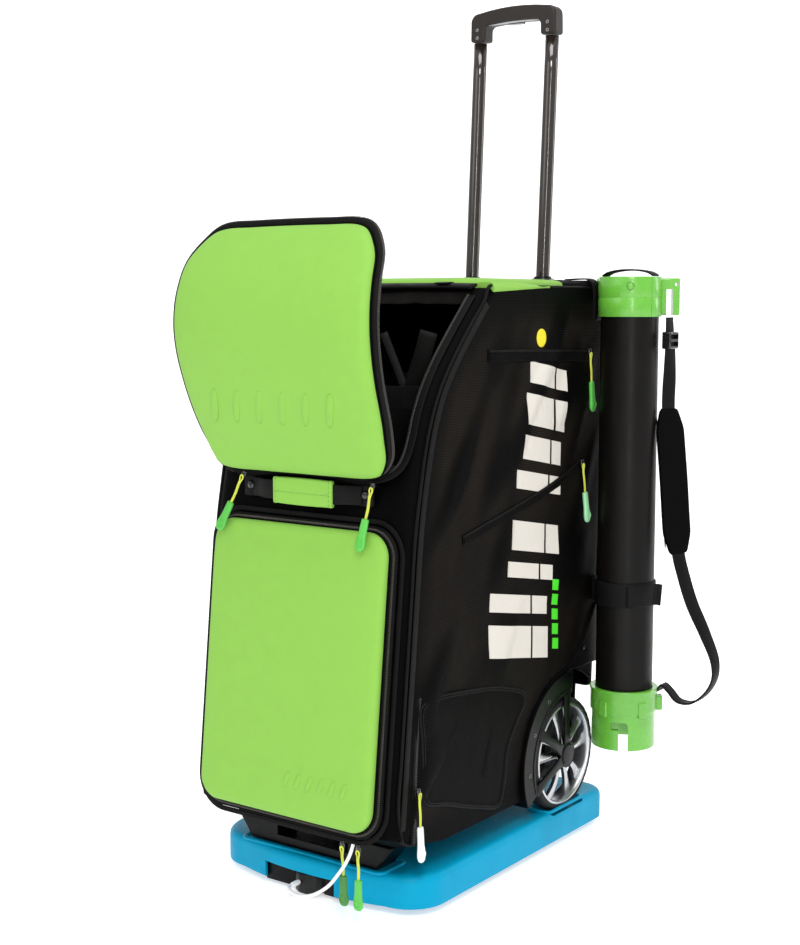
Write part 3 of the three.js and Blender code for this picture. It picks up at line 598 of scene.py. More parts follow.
# ---------- camera, lights, floor and the lead ----------
CAMERA_PLACE = (1.279, -1.777, 0.801)
CAMERA_AROUND, CAMERA_DOWN = 36.193, 6.344  # degrees left of the +Y axis and below the horizon
CAMERA_LENS, SENSOR = 57.86, 36
FLOOR_SIZE, FLOOR_REAR, FLOOR_BEND, FLOOR_TOP = 6.0, 3.2, 1.6, 4.5  # metres


def build_stage():
    camera = bpy.data.objects.new("camera", bpy.data.cameras.new("camera"))
    camera.data.lens = CAMERA_LENS
    camera.data.sensor_width = SENSOR
    camera.data.clip_start = 0.05
    camera.location = CAMERA_PLACE
    around, down = math.radians(CAMERA_AROUND), math.radians(CAMERA_DOWN)
    look = Vector((-math.sin(around) * math.cos(down), math.cos(around) * math.cos(down), -math.sin(down)))
    camera.rotation_euler = look.to_track_quat("-Z", "Y").to_euler()
    scene.collection.objects.link(camera)
    scene.camera = camera
    scene.view_settings.view_transform = "Standard"

    floor_mesh = bpy.data.meshes.new("floor")
    rows = []
    for k in range(40):
        s = k / 39
        if s < 0.6:
            rows.append((-FLOOR_SIZE + (FLOOR_SIZE + FLOOR_REAR) * s / 0.6, 0.0))
        else:
            a = (s - 0.6) / 0.4 * math.pi / 2
            rows.append((FLOOR_REAR + FLOOR_BEND * math.sin(a), FLOOR_BEND - FLOOR_BEND * math.cos(a)))
    rows.append((FLOOR_REAR + FLOOR_BEND, FLOOR_TOP))
    points = [(x, y, z) for y, z in rows for x in (-FLOOR_SIZE, FLOOR_SIZE)]
    faces = [(2 * i, 2 * i + 1, 2 * i + 3, 2 * i + 2) for i in range(len(rows) - 1)]
    floor_mesh.from_pydata(points, [], faces)
    for polygon in floor_mesh.polygons:
        polygon.use_smooth = True
    floor = bpy.data.objects.new("floor", floor_mesh)
    s = Shader("pale_floor", (0.9, 0.9, 0.9, 1), 0.75, Specular_IOR_Level=0.2, Emission_Color=(1, 1, 1, 1),
               Emission_Strength=0.5)
    s.colour(s.ramp(s.noise(1.5, 2), (0.0, (0.93, 0.93, 0.932, 1)), (1.0, (0.96, 0.96, 0.96, 1))))
    floor_mesh.materials.append(s.material)
    scene.collection.objects.link(floor)
    floor.rotation_euler = (0, 0, math.radians(36))  # about square to the camera

    world = bpy.data.worlds.new("studio")
    world.use_nodes = True
    world.node_tree.nodes["Background"].inputs["Color"].default_value = (1, 1, 1, 1)
    world.node_tree.nodes["Background"].inputs["Strength"].default_value = 0.6
    scene.world = world
    for name, place, aim, size, power in (
        ("key_light", (-0.9, -2.6, 2.3), (0, -0.1, 0.5), (1.8, 1.8), 14),
        ("side_light", (1.7, -2.0, 3.0), (0.15, 0.0, 0.5), (0.8, 0.8), 36),
        ("strip_light", (2.3, -2.6, 1.1), (0.1, 0.1, 0.7), (0.10, 2.4), 26),
        ("top_light", (0.5, -0.5, 3.3), (0.05, -0.05, 0.6), (1.4, 1.2), 32),
        ("rear_light", (1.9, 2.3, 1.6), (0.1, 0.1, 0.6), (0.5, 2.0), 16),
    ):
        light = bpy.data.lights.new(name, "AREA")
        light.shape = "RECTANGLE"
        light.size, light.size_y = size
        light.energy = power
        lamp = bpy.data.objects.new(name, light)
        lamp.location = place
        lamp.rotation_euler = (Vector(aim) - Vector(place)).to_track_quat("-Z", "Y").to_euler()
        scene.collection.objects.link(lamp)


SOCKET = (-5.2, 21.2)  # x and z of the socket in the drive drum

# The route of the lead, from the zip at the door's lower edge to the socket in the drive drum.
LEAD = [(114, -287, 109), (114, -294, 97), (108, -299, 82), (99, -302, 68), (89, -304, 55), (76, -304, 44),
        (60, -303, 34), (43, -299, 27), (27, -293, 22), (12, -287, 20), (0, -281, 20.5), (-5, -275, 21.2),
        (-5.2, -270.7, 21.2)]


def build_lead():
    line = smooth_path(LEAD, 3.0)
    curve = bpy.data.curves.new("power_lead_cord", "CURVE")
    curve.dimensions = "3D"
    curve.bevel_depth = 2.3 * MM
    curve.bevel_resolution = 5
    curve.use_fill_caps = True
    spline = curve.splines.new("POLY")
    spline.points.add(len(line) - 1)
    for point, at in zip(spline.points, line):
        point.co = (*(at * MM), 1.0)
    lead = bpy.data.objects.new("power_lead_cord", curve)
    scene.collection.objects.link(lead)
    slot, look = LOOK["white"]
    curve.materials.append(look)
    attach(lead, TABLE)
    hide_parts("power_lead")
    plug = turned("lead_plug_body", SOCKET, [(0.3, -270.4), (2.5, -270.4), (3.1, -269.6), (3.6, -268), (3.6, -264.4),
                  (3.2, -264), (3.2, -263.4), (3.6, -263), (3.6, -256.4), (2.8, -255.8), (2.8, -253.9), (0.3, -253.8)],
                  "white", axis="y", sides=28, replaces=("lead_plug",))


# ---------- zips ----------
def zip_teeth(name, path, lift, body=TABLE, closed=False, width=3.6):
    """Coil teeth: small rounded bars across a path, standing up along lift (one vector, or one for each point)."""
    line = even_path(path, TOOTH_PITCH, closed)
    along = tangents(line, closed)
    varying = isinstance(lift, list)
    points, faces = [], []
    for i, (at, t) in enumerate(zip(line, along)):
        n = Vector(lift[min(len(lift) - 1, i * len(lift) // len(line))] if varying else lift)
        n = (n - t * n.dot(t)).normalized()
        side = t.cross(n).normalized() * (width / 2)
        up = side.cross(t).normalized() * 0.9
        step = t * (TOOTH_PITCH * 0.3)
        base = len(points)
        for s in (-1, 1):
            top = at + side * s * 0.8 + up
            points += [at + side * s - step, top - step * 0.5, top + step * 0.5, at + side * s + step]
        faces += [(base, base + 1, base + 5, base + 4), (base + 1, base + 2, base + 6, base + 5),
                  (base + 2, base + 3, base + 7, base + 6), (base, base + 3, base + 2, base + 1),
                  (base + 4, base + 5, base + 6, base + 7)]
    return piece(name, points, faces, "teeth", body)


HEXAGON = [(1, 0.0), (0.82, 0.75), (0.45, 1), (-0.45, 1), (-0.82, 0.75), (-1, 0.0), (-0.82, -0.75), (-0.45, -1),
           (0.45, -1), (0.82, -0.75)]


def zip_pull(node, top, end, tab_material, body=TABLE):
    """A slider with a bail, a loop of cord and a moulded tab, hanging from top to end."""
    start, stop = Vector(top), Vector(end)
    down = (stop - start).normalized()
    length = (stop - start).length
    out = Vector((1, 0, 0)) if top[0] > 170 else Vector((0, -1, 0))
    side = down.cross(out).normalized()
    face = side.cross(down).normalized()

    def at(s, a=0.0, b=0.0):
        return start + down * s + side * a + face * b

    # slider body: a flared boat shape under a bridge
    rows = []
    for s, w, h in ((-8.6, 2.2, 1.2), (-7.6, 3.4, 1.9), (-4, 4.0, 2.4), (0, 3.5, 2.4), (1.6, 2.6, 1.6),
                    (2.2, 1.6, 0.8)):
        rows.append([at(s, w * a, h * b) for a, b in circle(1.0, 16)])
    skinned(node + "_slider", rows, "gloss", body)
    loop_top, loop_end = -2.0, length * 0.52
    path = [at(loop_end, -0.7, 0), at(loop_end * 0.6, -1.6, 0.5), at(11, -0.5, 1.0), at(7, -1.1, 1.2), at(2, -2.3, 1.8),
            at(loop_top + 0.8, -1.6, 2.4), at(loop_top, 0, 2.6), at(loop_top + 0.8, 1.6, 2.4), at(2, 2.3, 1.8),
            at(7, 1.1, 1.2), at(11, 1.3, 1.0), at(loop_end * 0.6, 0.2, 0.5), at(loop_end, 0.7, 0)]
    sweep(node + "_cord", smooth_path(path, 2.0), circle(1.15, 8), "cord", body)
    # tab: a hexagonal bar that widens into a round bulb; part of the pull's length, half width, half thickness
    rows = [[at(length * part, w * a, h * b) for a, b in HEXAGON] for part, w, h in (
        (0.475, 4.0, 2.2), (0.478, 5.4, 2.9), (0.52, 5.8, 3.1), (0.70, 6.0, 3.1), (0.76, 6.1, 3.1), (0.80, 7.0, 3.2),
        (0.87, 8.3, 3.3), (0.935, 7.9, 3.2), (0.98, 5.6, 2.7), (1.0, 2.4, 1.6))]
    tab = skinned(node + "_tab", rows, tab_material, body)
    hoop = [at(length * 0.875 + b, a, 3.1) for a, b in circle(4.9, 20)]
    sweep(node + "_ring", hoop, circle(0.8, 6), tab_material, body, up=tuple(face), closed=True)
    apply_modifier(tab, "SUBSURF", levels=2, render_levels=2)
    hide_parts(node)


# ---------- bag ----------
FRONT = [(92, -188), (104, -254), (120, -279), (514, -237.6), (617, -216), (655, -203), (706, -176), (767, -120),
         (822, -64)]
REAR = [(92, 236), (104, 241), (120, 242), (514, 265), (617, 271), (655, 274), (706, 277), (767, 280), (822, 283)]
HALF, CORNER_FRONT, CORNER_REAR, BOTTOM, TOP = 172, 26, 22, 96, 822
MOUTH_HALF, MOUTH_Z, MOUTH_Y = 148, 592, -64


def follow(table, z):
    """The value at height z in a table of (height, value), in straight lines between its rows."""
    if z <= table[0][0]:
        return table[0][1]
    for (z0, v0), (z1, v1) in zip(table, table[1:]):
        if z <= z1:
            return v0 + (v1 - v0) * (z - z0) / (z1 - z0)
    return table[-1][1]


def eased(table, z, reach=16.0):
    """The same, with its corners rounded over reach millimetres."""
    return sum(follow(table, z + reach * k / 4) for k in range(-4, 5)) / 9


def front_at(z):
    """Where the bag's front lies at a height."""
    return max(eased(FRONT, z, 14), -279) if 150 < z < 800 else follow(FRONT, z)


def bag_ring(z):
    """The bag's outline at a height, from the front right corner round to it again."""
    x, front, rear, rf, rr = HALF, front_at(z), follow(REAR, z), CORNER_FRONT, CORNER_REAR
    corners = ((x - rf, front + rf, -90, rf), (x - rr, rear - rr, 0, rr), (-x + rr, rear - rr, 90, rr),
               (-x + rf, front + rf, 180, rf))
    runs = (48, 36, 48, 36)
    ring = []
    for k, (cx, cy, start, r) in enumerate(corners):
        ring += [Vector((px, py, z)) for px, py in arc(cx, cy, r, start, start + 90)]
        nx, ny, nstart, nr = corners[(k + 1) % 4]
        a = math.radians(nstart)
        target = Vector((nx + nr * math.cos(a), ny + nr * math.sin(a), z))
        last = ring[-1]
        ring += [last.lerp(target, s / runs[k]) for s in range(1, runs[k])]
    return ring


def crease(p):
    """How far the cloth of a side wall moves out of its plane, in millimetres."""
    x, y, z = p
    side = 1 if x > 0 else -1
    along = noise.noise(Vector((y * 0.010, z * 0.006, 4.0 * side)))
    folds = noise.noise(Vector(((y * 0.75 - z * 0.5) * 0.022, (y * 0.5 + z * 0.75) * 0.006, 9.0 + side)))
    small = noise.noise(Vector((y * 0.045, z * 0.04, 2.0)))
    sag = math.exp(-((z - 150) / 90) ** 2) * noise.noise(Vector((y * 0.03, z * 0.01, 7.0)))
    sharp = folds - 0.9 * abs(folds) + 0.25
    upper = math.exp(-((z - 640) / 120) ** 2)
    return 1.8 * along + (5.4 + 3.4 * upper) * sharp + 0.5 * small + 1.8 * sag - 1.4


def wall_move(p):
    """The same, held to what leaves room inside and outside the wall."""
    return max(-5.6, min(1.6, crease(p)))


ROD_X = 65  # half the distance between the handle's rods
CLOTH = {}  # the outer surface of the bag's cloth, kept for what lies on it


def build_bag():
    levels = [92, 96, 100, 104, 109, 114, 120] + [120 + 6.5 * k for k in range(1, 107)] + [818, TOP]
    rows = []
    for z in levels:
        ring = bag_ring(min(z, TOP))
        out = []
        front, rear = front_at(z), follow(REAR, z)
        for p in ring:
            q = p.copy()
            # distance to the edges of the panel the point is on
            if abs(p.x) > HALF - 2:
                edge = min(p.y - front, rear - p.y, z - BOTTOM, TOP - z)
                soft = share((edge - 18) / 45)
                q.x += math.copysign(wall_move(p) * soft, p.x)
            elif abs(p.y - rear) < 2:
                edge = min(HALF - abs(p.x), z - BOTTOM, TOP - z)
                soft = share((edge - 20) / 50)
                q.y += soft * 1.6 * noise.noise(Vector((p.x * 0.012, z * 0.012, 1.0)))
            elif abs(p.y - front) < 2:
                edge = min(HALF - abs(p.x), abs(z - 500), abs(z - 100))
                soft = share(edge / 30)
                q.y += soft * 1.6 * noise.noise(Vector((p.x * 0.02 + z * 0.02, z * 0.02 - p.x * 0.012, 5.0)))
            out.append(q)
        rows.append(out)
    points, faces = skin(rows)
    CLOTH["surface"] = BVHTree.FromPolygons(points, faces)
    cloth = piece("bag_cloth", points, faces, "ripstop", None)
    # how far each point of a side wall lies on a fold's ridge, for the ripstop's lighter ridges: a painted highlight,
    # partly rubbed wear
    sheen_and_wear_share = cloth.data.attributes.new("fold", "FLOAT", "POINT")
    for vertex in cloth.data.vertices:
        p = vertex.co / MM
        if abs(p.x) > HALF - 8:
            edge = min(p.y - front_at(p.z), follow(REAR, p.z) - p.y, p.z - BOTTOM, TOP - p.z)
            soft = share((edge - 8) / 45)
            sheen_and_wear_share.data[vertex.index].value = soft * share((crease(p) + 5.0) / 7.5)
    apply_modifier(cloth, "SOLIDIFY", thickness=4.0 * MM, offset=-1.0)
    well = []
    for side in (1, -1):
        well.append(bore(HUB, 126, 136 * side, 200 * side, 64, "x"))
        slot_low = sorted((136 * side, 200 * side))
        well.append(block("well_low", slot_low, (51, 300), (60, WHEEL_Z), "black", None))
        well.append(block("well_rear", slot_low, (WHEEL_Y, 300), (60, 153), "black", None))
    hole = slab("door_hole", outline_box(-134, 134, 136, 500, 26), "y", -400, -150, "black", None)
    opening = outline_box(-MOUTH_HALF, MOUTH_HALF, MOUTH_Z, 900, 30)
    mouth = slab("mouth_hole", opening, "y", -400, MOUTH_Y, "black", None)
    rods = [bore((ROD_X * s, 252), 16, 790, 850) for s in (1, -1)]
    carve(cloth, mouth, hole, *well, *rods)
    sharpen(cloth, 50)
    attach(cloth, TABLE)
    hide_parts("bag_shell")
    build_bag_trim()


def side_line(points, x, step=6.0):
    return smooth_path([(x, y, z) for y, z in points], step)


def build_bag_trim():
    for side, tag in SIDES:
        x = 169.4 * side
        out = Vector((side, 0, 0))
        # piping up the front edge, over the slope and back along the top
        edge = [(front_at(z) + 10.5, z) for z in (112, 160, 220, 290, 360, 430, 500, 560, 610, 650, 690, 730, 770, 805)]
        edge += [(-60, 823.2), (-20, 824.0), (60, 824.2), (150, 824.2), (230, 824.2), (262, 823.6)]
        sweep("piping_top_" + tag, side_line(edge, x), circle(2.4, 10), "satin")
        # the flat tape inboard of the piping on the side wall
        tape = [(front_at(z) + 19.5, z) for z in (130, 220, 320, 430, 520, 600, 650, 690, 730, 770, 800)]
        sweep("edge_tape_" + tag, side_line(tape, 172.3 * side), flat_profile(11, 1.1), "satin", up=out)
        low = [(-262, 117), (-240, 106), (-150, 101), (-60, 98), (20, 96)]
        sweep("piping_low_" + tag, side_line(low, x), circle(2.4, 10), "satin")
        rear = [(262, 823), (262, 780), (259, 640), (254, 480), (247, 330), (241, 268)]
        sweep("piping_rear_" + tag, side_line([(y + 3, z) for y, z in rear], 168.5 * side), circle(2.4, 10), "satin")
        # zip tape and coil down the edge of the mouth
        run = [(front_at(z) - 1.0, z) for z in (575, 600, 625, 655, 690, 725, 760, 790, 812)]
        start = [(112 * side, -249.5, 579), (130 * side, -244, 581), (143 * side, -235, 588), (150.5 * side, -226, 601)]
        path = smooth_path(start + [(152.5 * side, y, z) for y, z in run[2:]], 6)
        ups = [Vector((0, -0.9, 0.45))] * len(path)
        sweep("mouth_tape_" + tag, path, flat_profile(13, 1.8), "satin", up=ups)
        zip_teeth("mouth_teeth_" + tag, [p + Vector((-5.5 * side, -1.0, 0.5)) for p in path], (0, -0.9, 0.45))
    hem_top = [(-150, -66, 824.2), (-120, -64, 825), (0, -63, 825.6), (120, -64, 825), (150, -66, 824.2)]
    sweep("mouth_hem", smooth_path(hem_top, 8), flat_profile(15, 4.2), "satin", up=(0, -0.35, 0.93))
    sill = [(-146, -228, 590), (-100, -229, 592), (0, -229, 592.5), (100, -229, 592), (146, -228, 590)]
    sweep("mouth_sill", smooth_path(sill, 8), flat_profile(12, 3.4), "satin", up=(0, -0.7, 0.7))
    build_side_details()


def wall_x(side, y, z):
    """Where the cloth of a side wall lies."""
    hit = CLOTH["surface"].ray_cast(Vector((300 * side, y, z)), Vector((-side, 0, 0)))[0]
    return hit.x if hit is not None else HALF * side


def on_wall(run, lift):
    """A path of (y, z) points laid on the right wall, lift millimetres off its cloth."""
    return [Vector((wall_x(1, p.y, p.z) + lift, p.y, p.z)) for p in side_line(run, 0, 8.0)]


def wall_ribbon(name, run, width, proud, material, side=1, thick=1.4):
    """A flat band that follows the folds of a side wall."""
    path = side_line(run, 0, 7)
    rows = []
    for p, t in zip(path, tangents(path)):
        across = Vector((0, -t.z, t.y))
        top, low = [], []
        for k in range(7):
            u = k / 3 - 1
            q = p + across * (u * width / 2)
            x = wall_x(side, q.y, q.z)
            round_edge = 0.5 if abs(u) > 0.9 else 0.0
            top.append(Vector((x + (proud - round_edge) * side, q.y, q.z)))
            low.append(Vector((x + (proud - thick) * side, q.y, q.z)))
        rows.append(top + low[::-1])
    return skinned(name, rows, material)


def build_side_details():
    # upper pocket: its zip lies under a folded band with a stitched edge
    band = [(-66, 731), (0, 730), (100, 727.5), (208, 724)]
    wall_ribbon("upper_zip_band", band, 17, 1.5, "plain")
    wall_ribbon("upper_zip_fold", [(y, z + 7.0) for y, z in band], 3.4, 2.5, "satin")
    stitches("upper_stitch", on_wall([(y, z - 6.4) for y, z in band], 1.7), "webbing", lift=(1, 0, 0), radius=0.5)
    # diagonal pocket across the middle
    band = [(186, 566), (113, 541), (0, 515), (-125, 489)]
    wall_ribbon("middle_zip_band", band, 13, 1.5, "plain")
    wall_ribbon("middle_zip_fold", [(y, z + 5.4) for y, z in band], 2.8, 2.4, "satin")
    stitches("middle_stitch", on_wall([(y, z - 4.6) for y, z in band], 1.7), "webbing", lift=(1, 0, 0), radius=0.45)
    # the left wall has no pockets here, only its seams
    for k, run in enumerate(([(-70, 731), (100, 729), (230, 725)], [(226, 560), (0, 515), (-150, 484)])):
        wall_ribbon(f"left_seam_{k}", run, 9, 1.2, "satin", side=-1)


def patch(name, corners, material, proud=0.8, fine=3.5):
    """A printed four-cornered patch that lies on the right wall; corners are (y, z) in order round it."""
    rows = []
    (ay, az), (by, bz), (cy, cz), (dy, dz) = corners
    along = max(2, round(math.hypot(dy - ay, dz - az) / fine))
    across = max(2, round(math.hypot(by - ay, bz - az) / fine))
    for i in range(along + 1):
        t = i / along
        ly, lz = ay + (dy - ay) * t, az + (dz - az) * t
        ry, rz = by + (cy - by) * t, bz + (cz - bz) * t
        top, low = [], []
        for k in range(across + 1):
            u = k / across
            y, z = ly + (ry - ly) * u, lz + (rz - lz) * u
            x = wall_x(1, y, z)
            top.append(Vector((x + proud, y, z)))
            low.append(Vector((x, y, z)))
        rows.append(top + low[::-1])
    return sharpen(skinned(name, rows, material), 40)


BADGE = (71, 753)


def build_print():
    """Plain white blocks in a leaning column on the right side, where the photographed machine has its lettering, and
    a short row of green ones beside it."""
    lean, split, slit = -0.18, 0.7, 5.5  # fall to the rear; where each block is divided; width of the gap
    # top of the block at its front edge, front edge, width, height
    for k, (z, y, wide, tall) in enumerate((
        (722, 42, 96, 30), (678, 34, 104, 44), (620, 26, 102, 34), (572, 10, 118, 26),
        (503, -2, 124, 42), (446, -12, 118, 22), (408, -58, 152, 26), (364, -60, 158, 46),
    )):
        for part, (y0, y1) in enumerate(((y, y + split * wide), (y + split * wide + slit, y + wide))):
            z0, z1 = z + lean * (y0 - y), z + lean * (y1 - y)
            patch(f"side_block_{k}_{part}", [(y0, z0), (y0, z0 - tall), (y1, z1 - tall), (y1, z1)], "ink_white")
    for k in range(5):
        z = 300 + 22 * k
        y0, y1 = 112 - 1.2 * k, 128 - 1.2 * k
        patch(f"side_green_block_{k}", [(y0, z + 16), (y0, z), (y1, z - 3), (y1, z + 13)], "ink_green")
    # round yellow badge
    rows = []
    for r, proud in ((13.0, 0.1), (13.0, 0.7), (12.2, 1.0), (9.0, 1.05), (4.0, 1.1), (0.3, 1.1)):
        rows.append([Vector((wall_x(1, *BADGE) + proud, BADGE[0] + a, BADGE[1] + b)) for a, b in circle(r, 48)])
    skinned("side_badge", rows, "ink_yellow")


def cushion(name, loop, middle, steps, place):
    """A low cushion over a closed outline. steps are (part of the outline's size, height); place gives the point for an
    outline point, a height and whether the cloth may ripple there."""
    rows = [[place(middle + (p - middle) * part, proud, part < 0.9) for p in loop] for part, proud in steps]
    return skinned(name, rows, "plain")


POCKET_STEPS = ((1.0, -0.5), (1.0, 1.0), (0.985, 2.6), (0.95, 3.5), (0.88, 4.0), (0.75, 4.2), (0.55, 4.4),
                (0.35, 4.4), (0.15, 4.4), (0.03, 4.4))
REAR_STEPS = ((1.0, -1.0), (1.0, 1.2), (0.985, 2.6), (0.95, 3.5), (0.86, 4.0), (0.7, 4.3), (0.5, 4.5), (0.3, 4.6),
              (0.12, 4.6), (0.02, 4.6))


def build_pockets():
    """The raised lower pocket on each side, with its piping and its zip."""
    outline = [(-221, 284), (-219, 240), (-217, 190), (-215, 158), (-160, 139), (-90, 116), (-32, 104), (-22, 124),
               (-9, 184), (14, 214), (34, 238), (30, 252), (12, 260), (-51, 276), (-113, 284), (-184, 290)]
    loop = even_path(smooth_path([(0, y, z) for y, z in outline], 4, closed=True), 7.5, closed=True)
    middle = Vector((0, -110, 205))
    for side, tag in SIDES:
        def place(q, proud, ripples):
            wave = 0.7 * noise.noise(Vector((q.y * 0.02, q.z * 0.03, 11.0 * side))) if ripples else 0.0
            return Vector(((HALF - 0.4 + proud + wave) * side, q.y, q.z))
        cushion("pocket_" + tag, loop, middle, POCKET_STEPS, place)
        rim = [Vector(((HALF + 2.0) * side, p.y, p.z)) for p in loop]
        sweep("pocket_piping_" + tag, rim, circle(2.1, 8), "satin", up=(side, 0, 0), closed=True)
        seam = [Vector(((HALF + 3.9) * side, *(middle + (p - middle) * 0.93).yz)) for p in loop]
        stitches("pocket_stitch_" + tag, seam, "webbing", lift=(side, 0, 0), closed=True, radius=0.5)
        inner = [Vector(((HALF + 3.4) * side, *(middle + (p - middle) * 0.962).yz)) for p in loop]
        sweep("pocket_piping_inner_" + tag, inner, circle(1.3, 8), "satin", up=(side, 0, 0), closed=True)
    run = [(-236, 108), (-233, 150), (-231, 200), (-227, 250), (-222, 296)]
    path = side_line(run, HALF + 0.9, 6)
    sweep("pocket_zip_tape", path, flat_profile(12, 1.2), "satin", up=(1, 0, 0))
    zip_teeth("pocket_zip_teeth", [p + Vector((0.5, 0, 0)) for p in path], (1, 0, 0), width=3.6)


def build_mouth_inside():
    """What shows inside the open mouth: mesh gussets, hook-and-loop strips and the hem's facing."""
    for side, tag in SIDES:
        rows = []
        for i in range(15):
            t = i / 14
            z = 600 + 195 * t
            y = front_at(z) + 10 + 26 * math.sin(math.pi * t)
            x = (146 - 16 * math.sin(math.pi * t)) * side
            row = []
            for k in range(7):
                u = k / 6
                row.append(Vector((x - 26 * u * side * math.sin(math.pi * t) ** 0.5, y + 46 * u, z - 8 * u)))
            back = [p + Vector((-1.0 * side, 0.6, 0)) for p in row[::-1]]
            rows.append(row + back)
        skinned("mouth_gusset_" + tag, rows, "mesh")
    # loose hook-and-loop strips that hang into the mouth
    strip = [(45, -128, 762), (60, -126, 728), (76, -124, 690), (88, -122, 655)]
    sweep("mouth_strip_narrow", smooth_path(strip, 8), flat_profile(11, 2.0), "mesh", up=(0.5, -0.8, 0.2))
    strip = [(117, -124, 764), (108, -124, 735), (94, -123, 700), (84, -121, 668)]
    sweep("mouth_strip_wide", smooth_path(strip, 8), flat_profile(24, 2.0), "mesh", up=(0.5, -0.8, 0.2))
    # the hem's facing, a gathered band of cloth that hangs inside the top edge
    rows = []
    for k in range(61):
        u = k / 60
        x = -144 + 288 * u
        ripple = 2.4 * noise.noise(Vector((x * 0.045, 3.0, 1.0))) + 1.1 * math.sin(x * 0.16)
        column = []
        for j in range(8):
            v = j / 7
            column.append(Vector((x, -62.5 + (ripple + 1.2 * math.sin(3.1 * v)) * v ** 0.7, 823.5 - 23 * v
                                  + 1.6 * v * noise.noise(Vector((x * 0.03, 8.0, 2.0))))))
        rows.append(column + [p + Vector((0, 1.0, 0)) for p in column[::-1]])
    facing = skinned("mouth_hem_facing", rows, "valance")


# ---------- door ----------
DOOR_HALF, DOOR_HEIGHT, DOOR_RADIUS, DOOR_TOP = 157, 407, 42, 519
DOOR_SLOPE = 0.105  # of the bag's front
DOOR_TILT = math.atan(DOOR_SLOPE)
DOOR_Y = -279 + (DOOR_TOP - 120) * DOOR_SLOPE - 1.2


def on_door(x, depth, h):
    """A point of the door: depth is negative towards the front, h runs down from the hinge."""
    c, s = math.cos(DOOR_TILT), math.sin(DOOR_TILT)
    return Vector((x, DOOR_Y + depth * c + h * s, DOOR_TOP - depth * s + h * c))


DOOR_OUT = Vector((0, -math.cos(DOOR_TILT), math.sin(DOOR_TILT)))


def door_ring(inset, depth, shift=0.0, parts=10, along=30, across=22):
    """The door's outline drawn in by inset, at a depth; shift moves it sideways."""
    a, low, high = DOOR_HALF - inset, -DOOR_HEIGHT + inset, -inset
    r = max(DOOR_RADIUS - inset, 3.0 + 0.05 * inset)
    r = min(r, a * 0.9, (high - low) / 2 * 0.9)
    corners = ((a - r, low + r, -90), (a - r, high - r, 0), (-a + r, high - r, 90), (-a + r, low + r, 180))
    ring = []
    for k, (cx, cy, start) in enumerate(corners):
        corner = arc(cx, cy, r, start, start + 90, parts)
        nx, ny, nstart = corners[(k + 1) % 4]
        tx, ty = nx + r * math.cos(math.radians(nstart)), ny + r * math.sin(math.radians(nstart))
        (lx, ly), count = corner[-1], (along, across)[k % 2]
        ring += corner + [(lx + (tx - lx) * s / count, ly + (ty - ly) * s / count) for s in range(1, count)]
    out = []
    for x, h in ring:
        swell = share((-h - 26) / 45)
        swell = swell * swell * (3 - 2 * swell)
        out.append(on_door(x + shift, depth if depth > -8 else -8 + (depth + 8) * (1 + 0.4 * swell), h))
    return out


PANEL_SHIFT = -3.0


def build_door():
    body = "front_door"
    profile = [(10.2, -4.5), (9.8, -7.6), (9.9, -10.2), (10.9, -12.3), (13.4, -14.2), (17.4, -15.4), (23, -16.0),
               (32, -16.5), (44, -16.8), (62, -16.9), (86, -17.0), (112, -17.05), (136, -17.1)]
    rows = [door_ring(i, d, PANEL_SHIFT) for i, d in profile]
    panel = skinned("door_panel", rows, "foam", body, replaces=("front_door",))
    sharpen(skinned("door_lining", [door_ring(5.5, -4.4), door_ring(5.5, 0.0)], "lining", body), 40)
    section = [(1.6, -1.0), (1.0, -3.0), (1.4, -5.2), (2.4, -6.2), (13.6, -6.2), (14.6, -5.6), (14.8, -3.4),
               (14.4, -0.6), (2.6, -0.4)]
    rows = [door_ring(i, d) for i, d in section]
    skinned("door_rim", rows, "satin", body, closed_path=True)
    zip_teeth("door_teeth", door_ring(6.0, -6.3), DOOR_OUT, body, closed=True, width=3.4)
    sweep("door_piping", door_ring(9.4, -6.6, PANEL_SHIFT), circle(1.3, 8), "plain", body, up=DOOR_OUT, closed=True)
    sweep("door_seam", door_ring(2.6, -6.3), circle(0.8, 8), "satin", body, up=DOOR_OUT, closed=True)
    bars = []
    for k in range(6):
        x = 4 + 19 * k
        bars.append(emboss([on_door(x, -20.3, -356), on_door(x + 9, -20.3, -334)], 4.2, DOOR_OUT))
    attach(merged("door_emboss", *bars), body)
    # the matching half of the zip, sewn to the bag
    sweep("door_zip_tape", door_ring(-4.0, -1.0), flat_profile(7.2, 1.6), "satin", TABLE, up=DOOR_OUT, closed=True)
    stitches("door_tape_stitch", door_ring(-6.2, -1.9), "webbing", TABLE, lift=DOOR_OUT, closed=True, radius=0.5)


def emboss(path, radius, out):
    """A soft raised bar moulded into a foam panel, a plain stand-in for its lettering."""
    line = [path[0].lerp(path[1], k / 10) for k in range(11)]
    return sweep("emboss", line, [(a, 0.4 * b) for a, b in circle(radius, 16)], "foam", None, up=tuple(out),
                 scale=lambda t: max(0.12, 1 - abs(2 * t - 1) ** 4) ** 0.5)


# ---------- flap ----------
FLAP_HALF = [(583, 118), (588, 137), (600, 149), (612, 156), (640, 163), (664, 166), (700, 168), (745, 170), (785, 170),
             (825, 168), (860, 163), (882, 150), (900, 132), (907, 112)]
FLAP_RIM = [(583, -251), (600, -251), (612, -258), (640, -270), (664, -280), (700, -294), (745, -306), (785, -308.5),
            (825, -301.5), (860, -286.5), (882, -273), (900, -262), (907, -258)]


def flap_outline():
    right = [(half, 0, z) for z, half in FLAP_HALF]
    left = [(-half, 0, z) for z, half in reversed(FLAP_HALF)]
    top = [(60, 0, 908.5), (0, 0, 909), (-60, 0, 908.5)]
    low = [(-60, 0, 582), (0, 0, 582), (60, 0, 582)]
    line = smooth_path(right + top + left + low, 3.0, closed=True)
    return even_path(line, 7.0, closed=True)


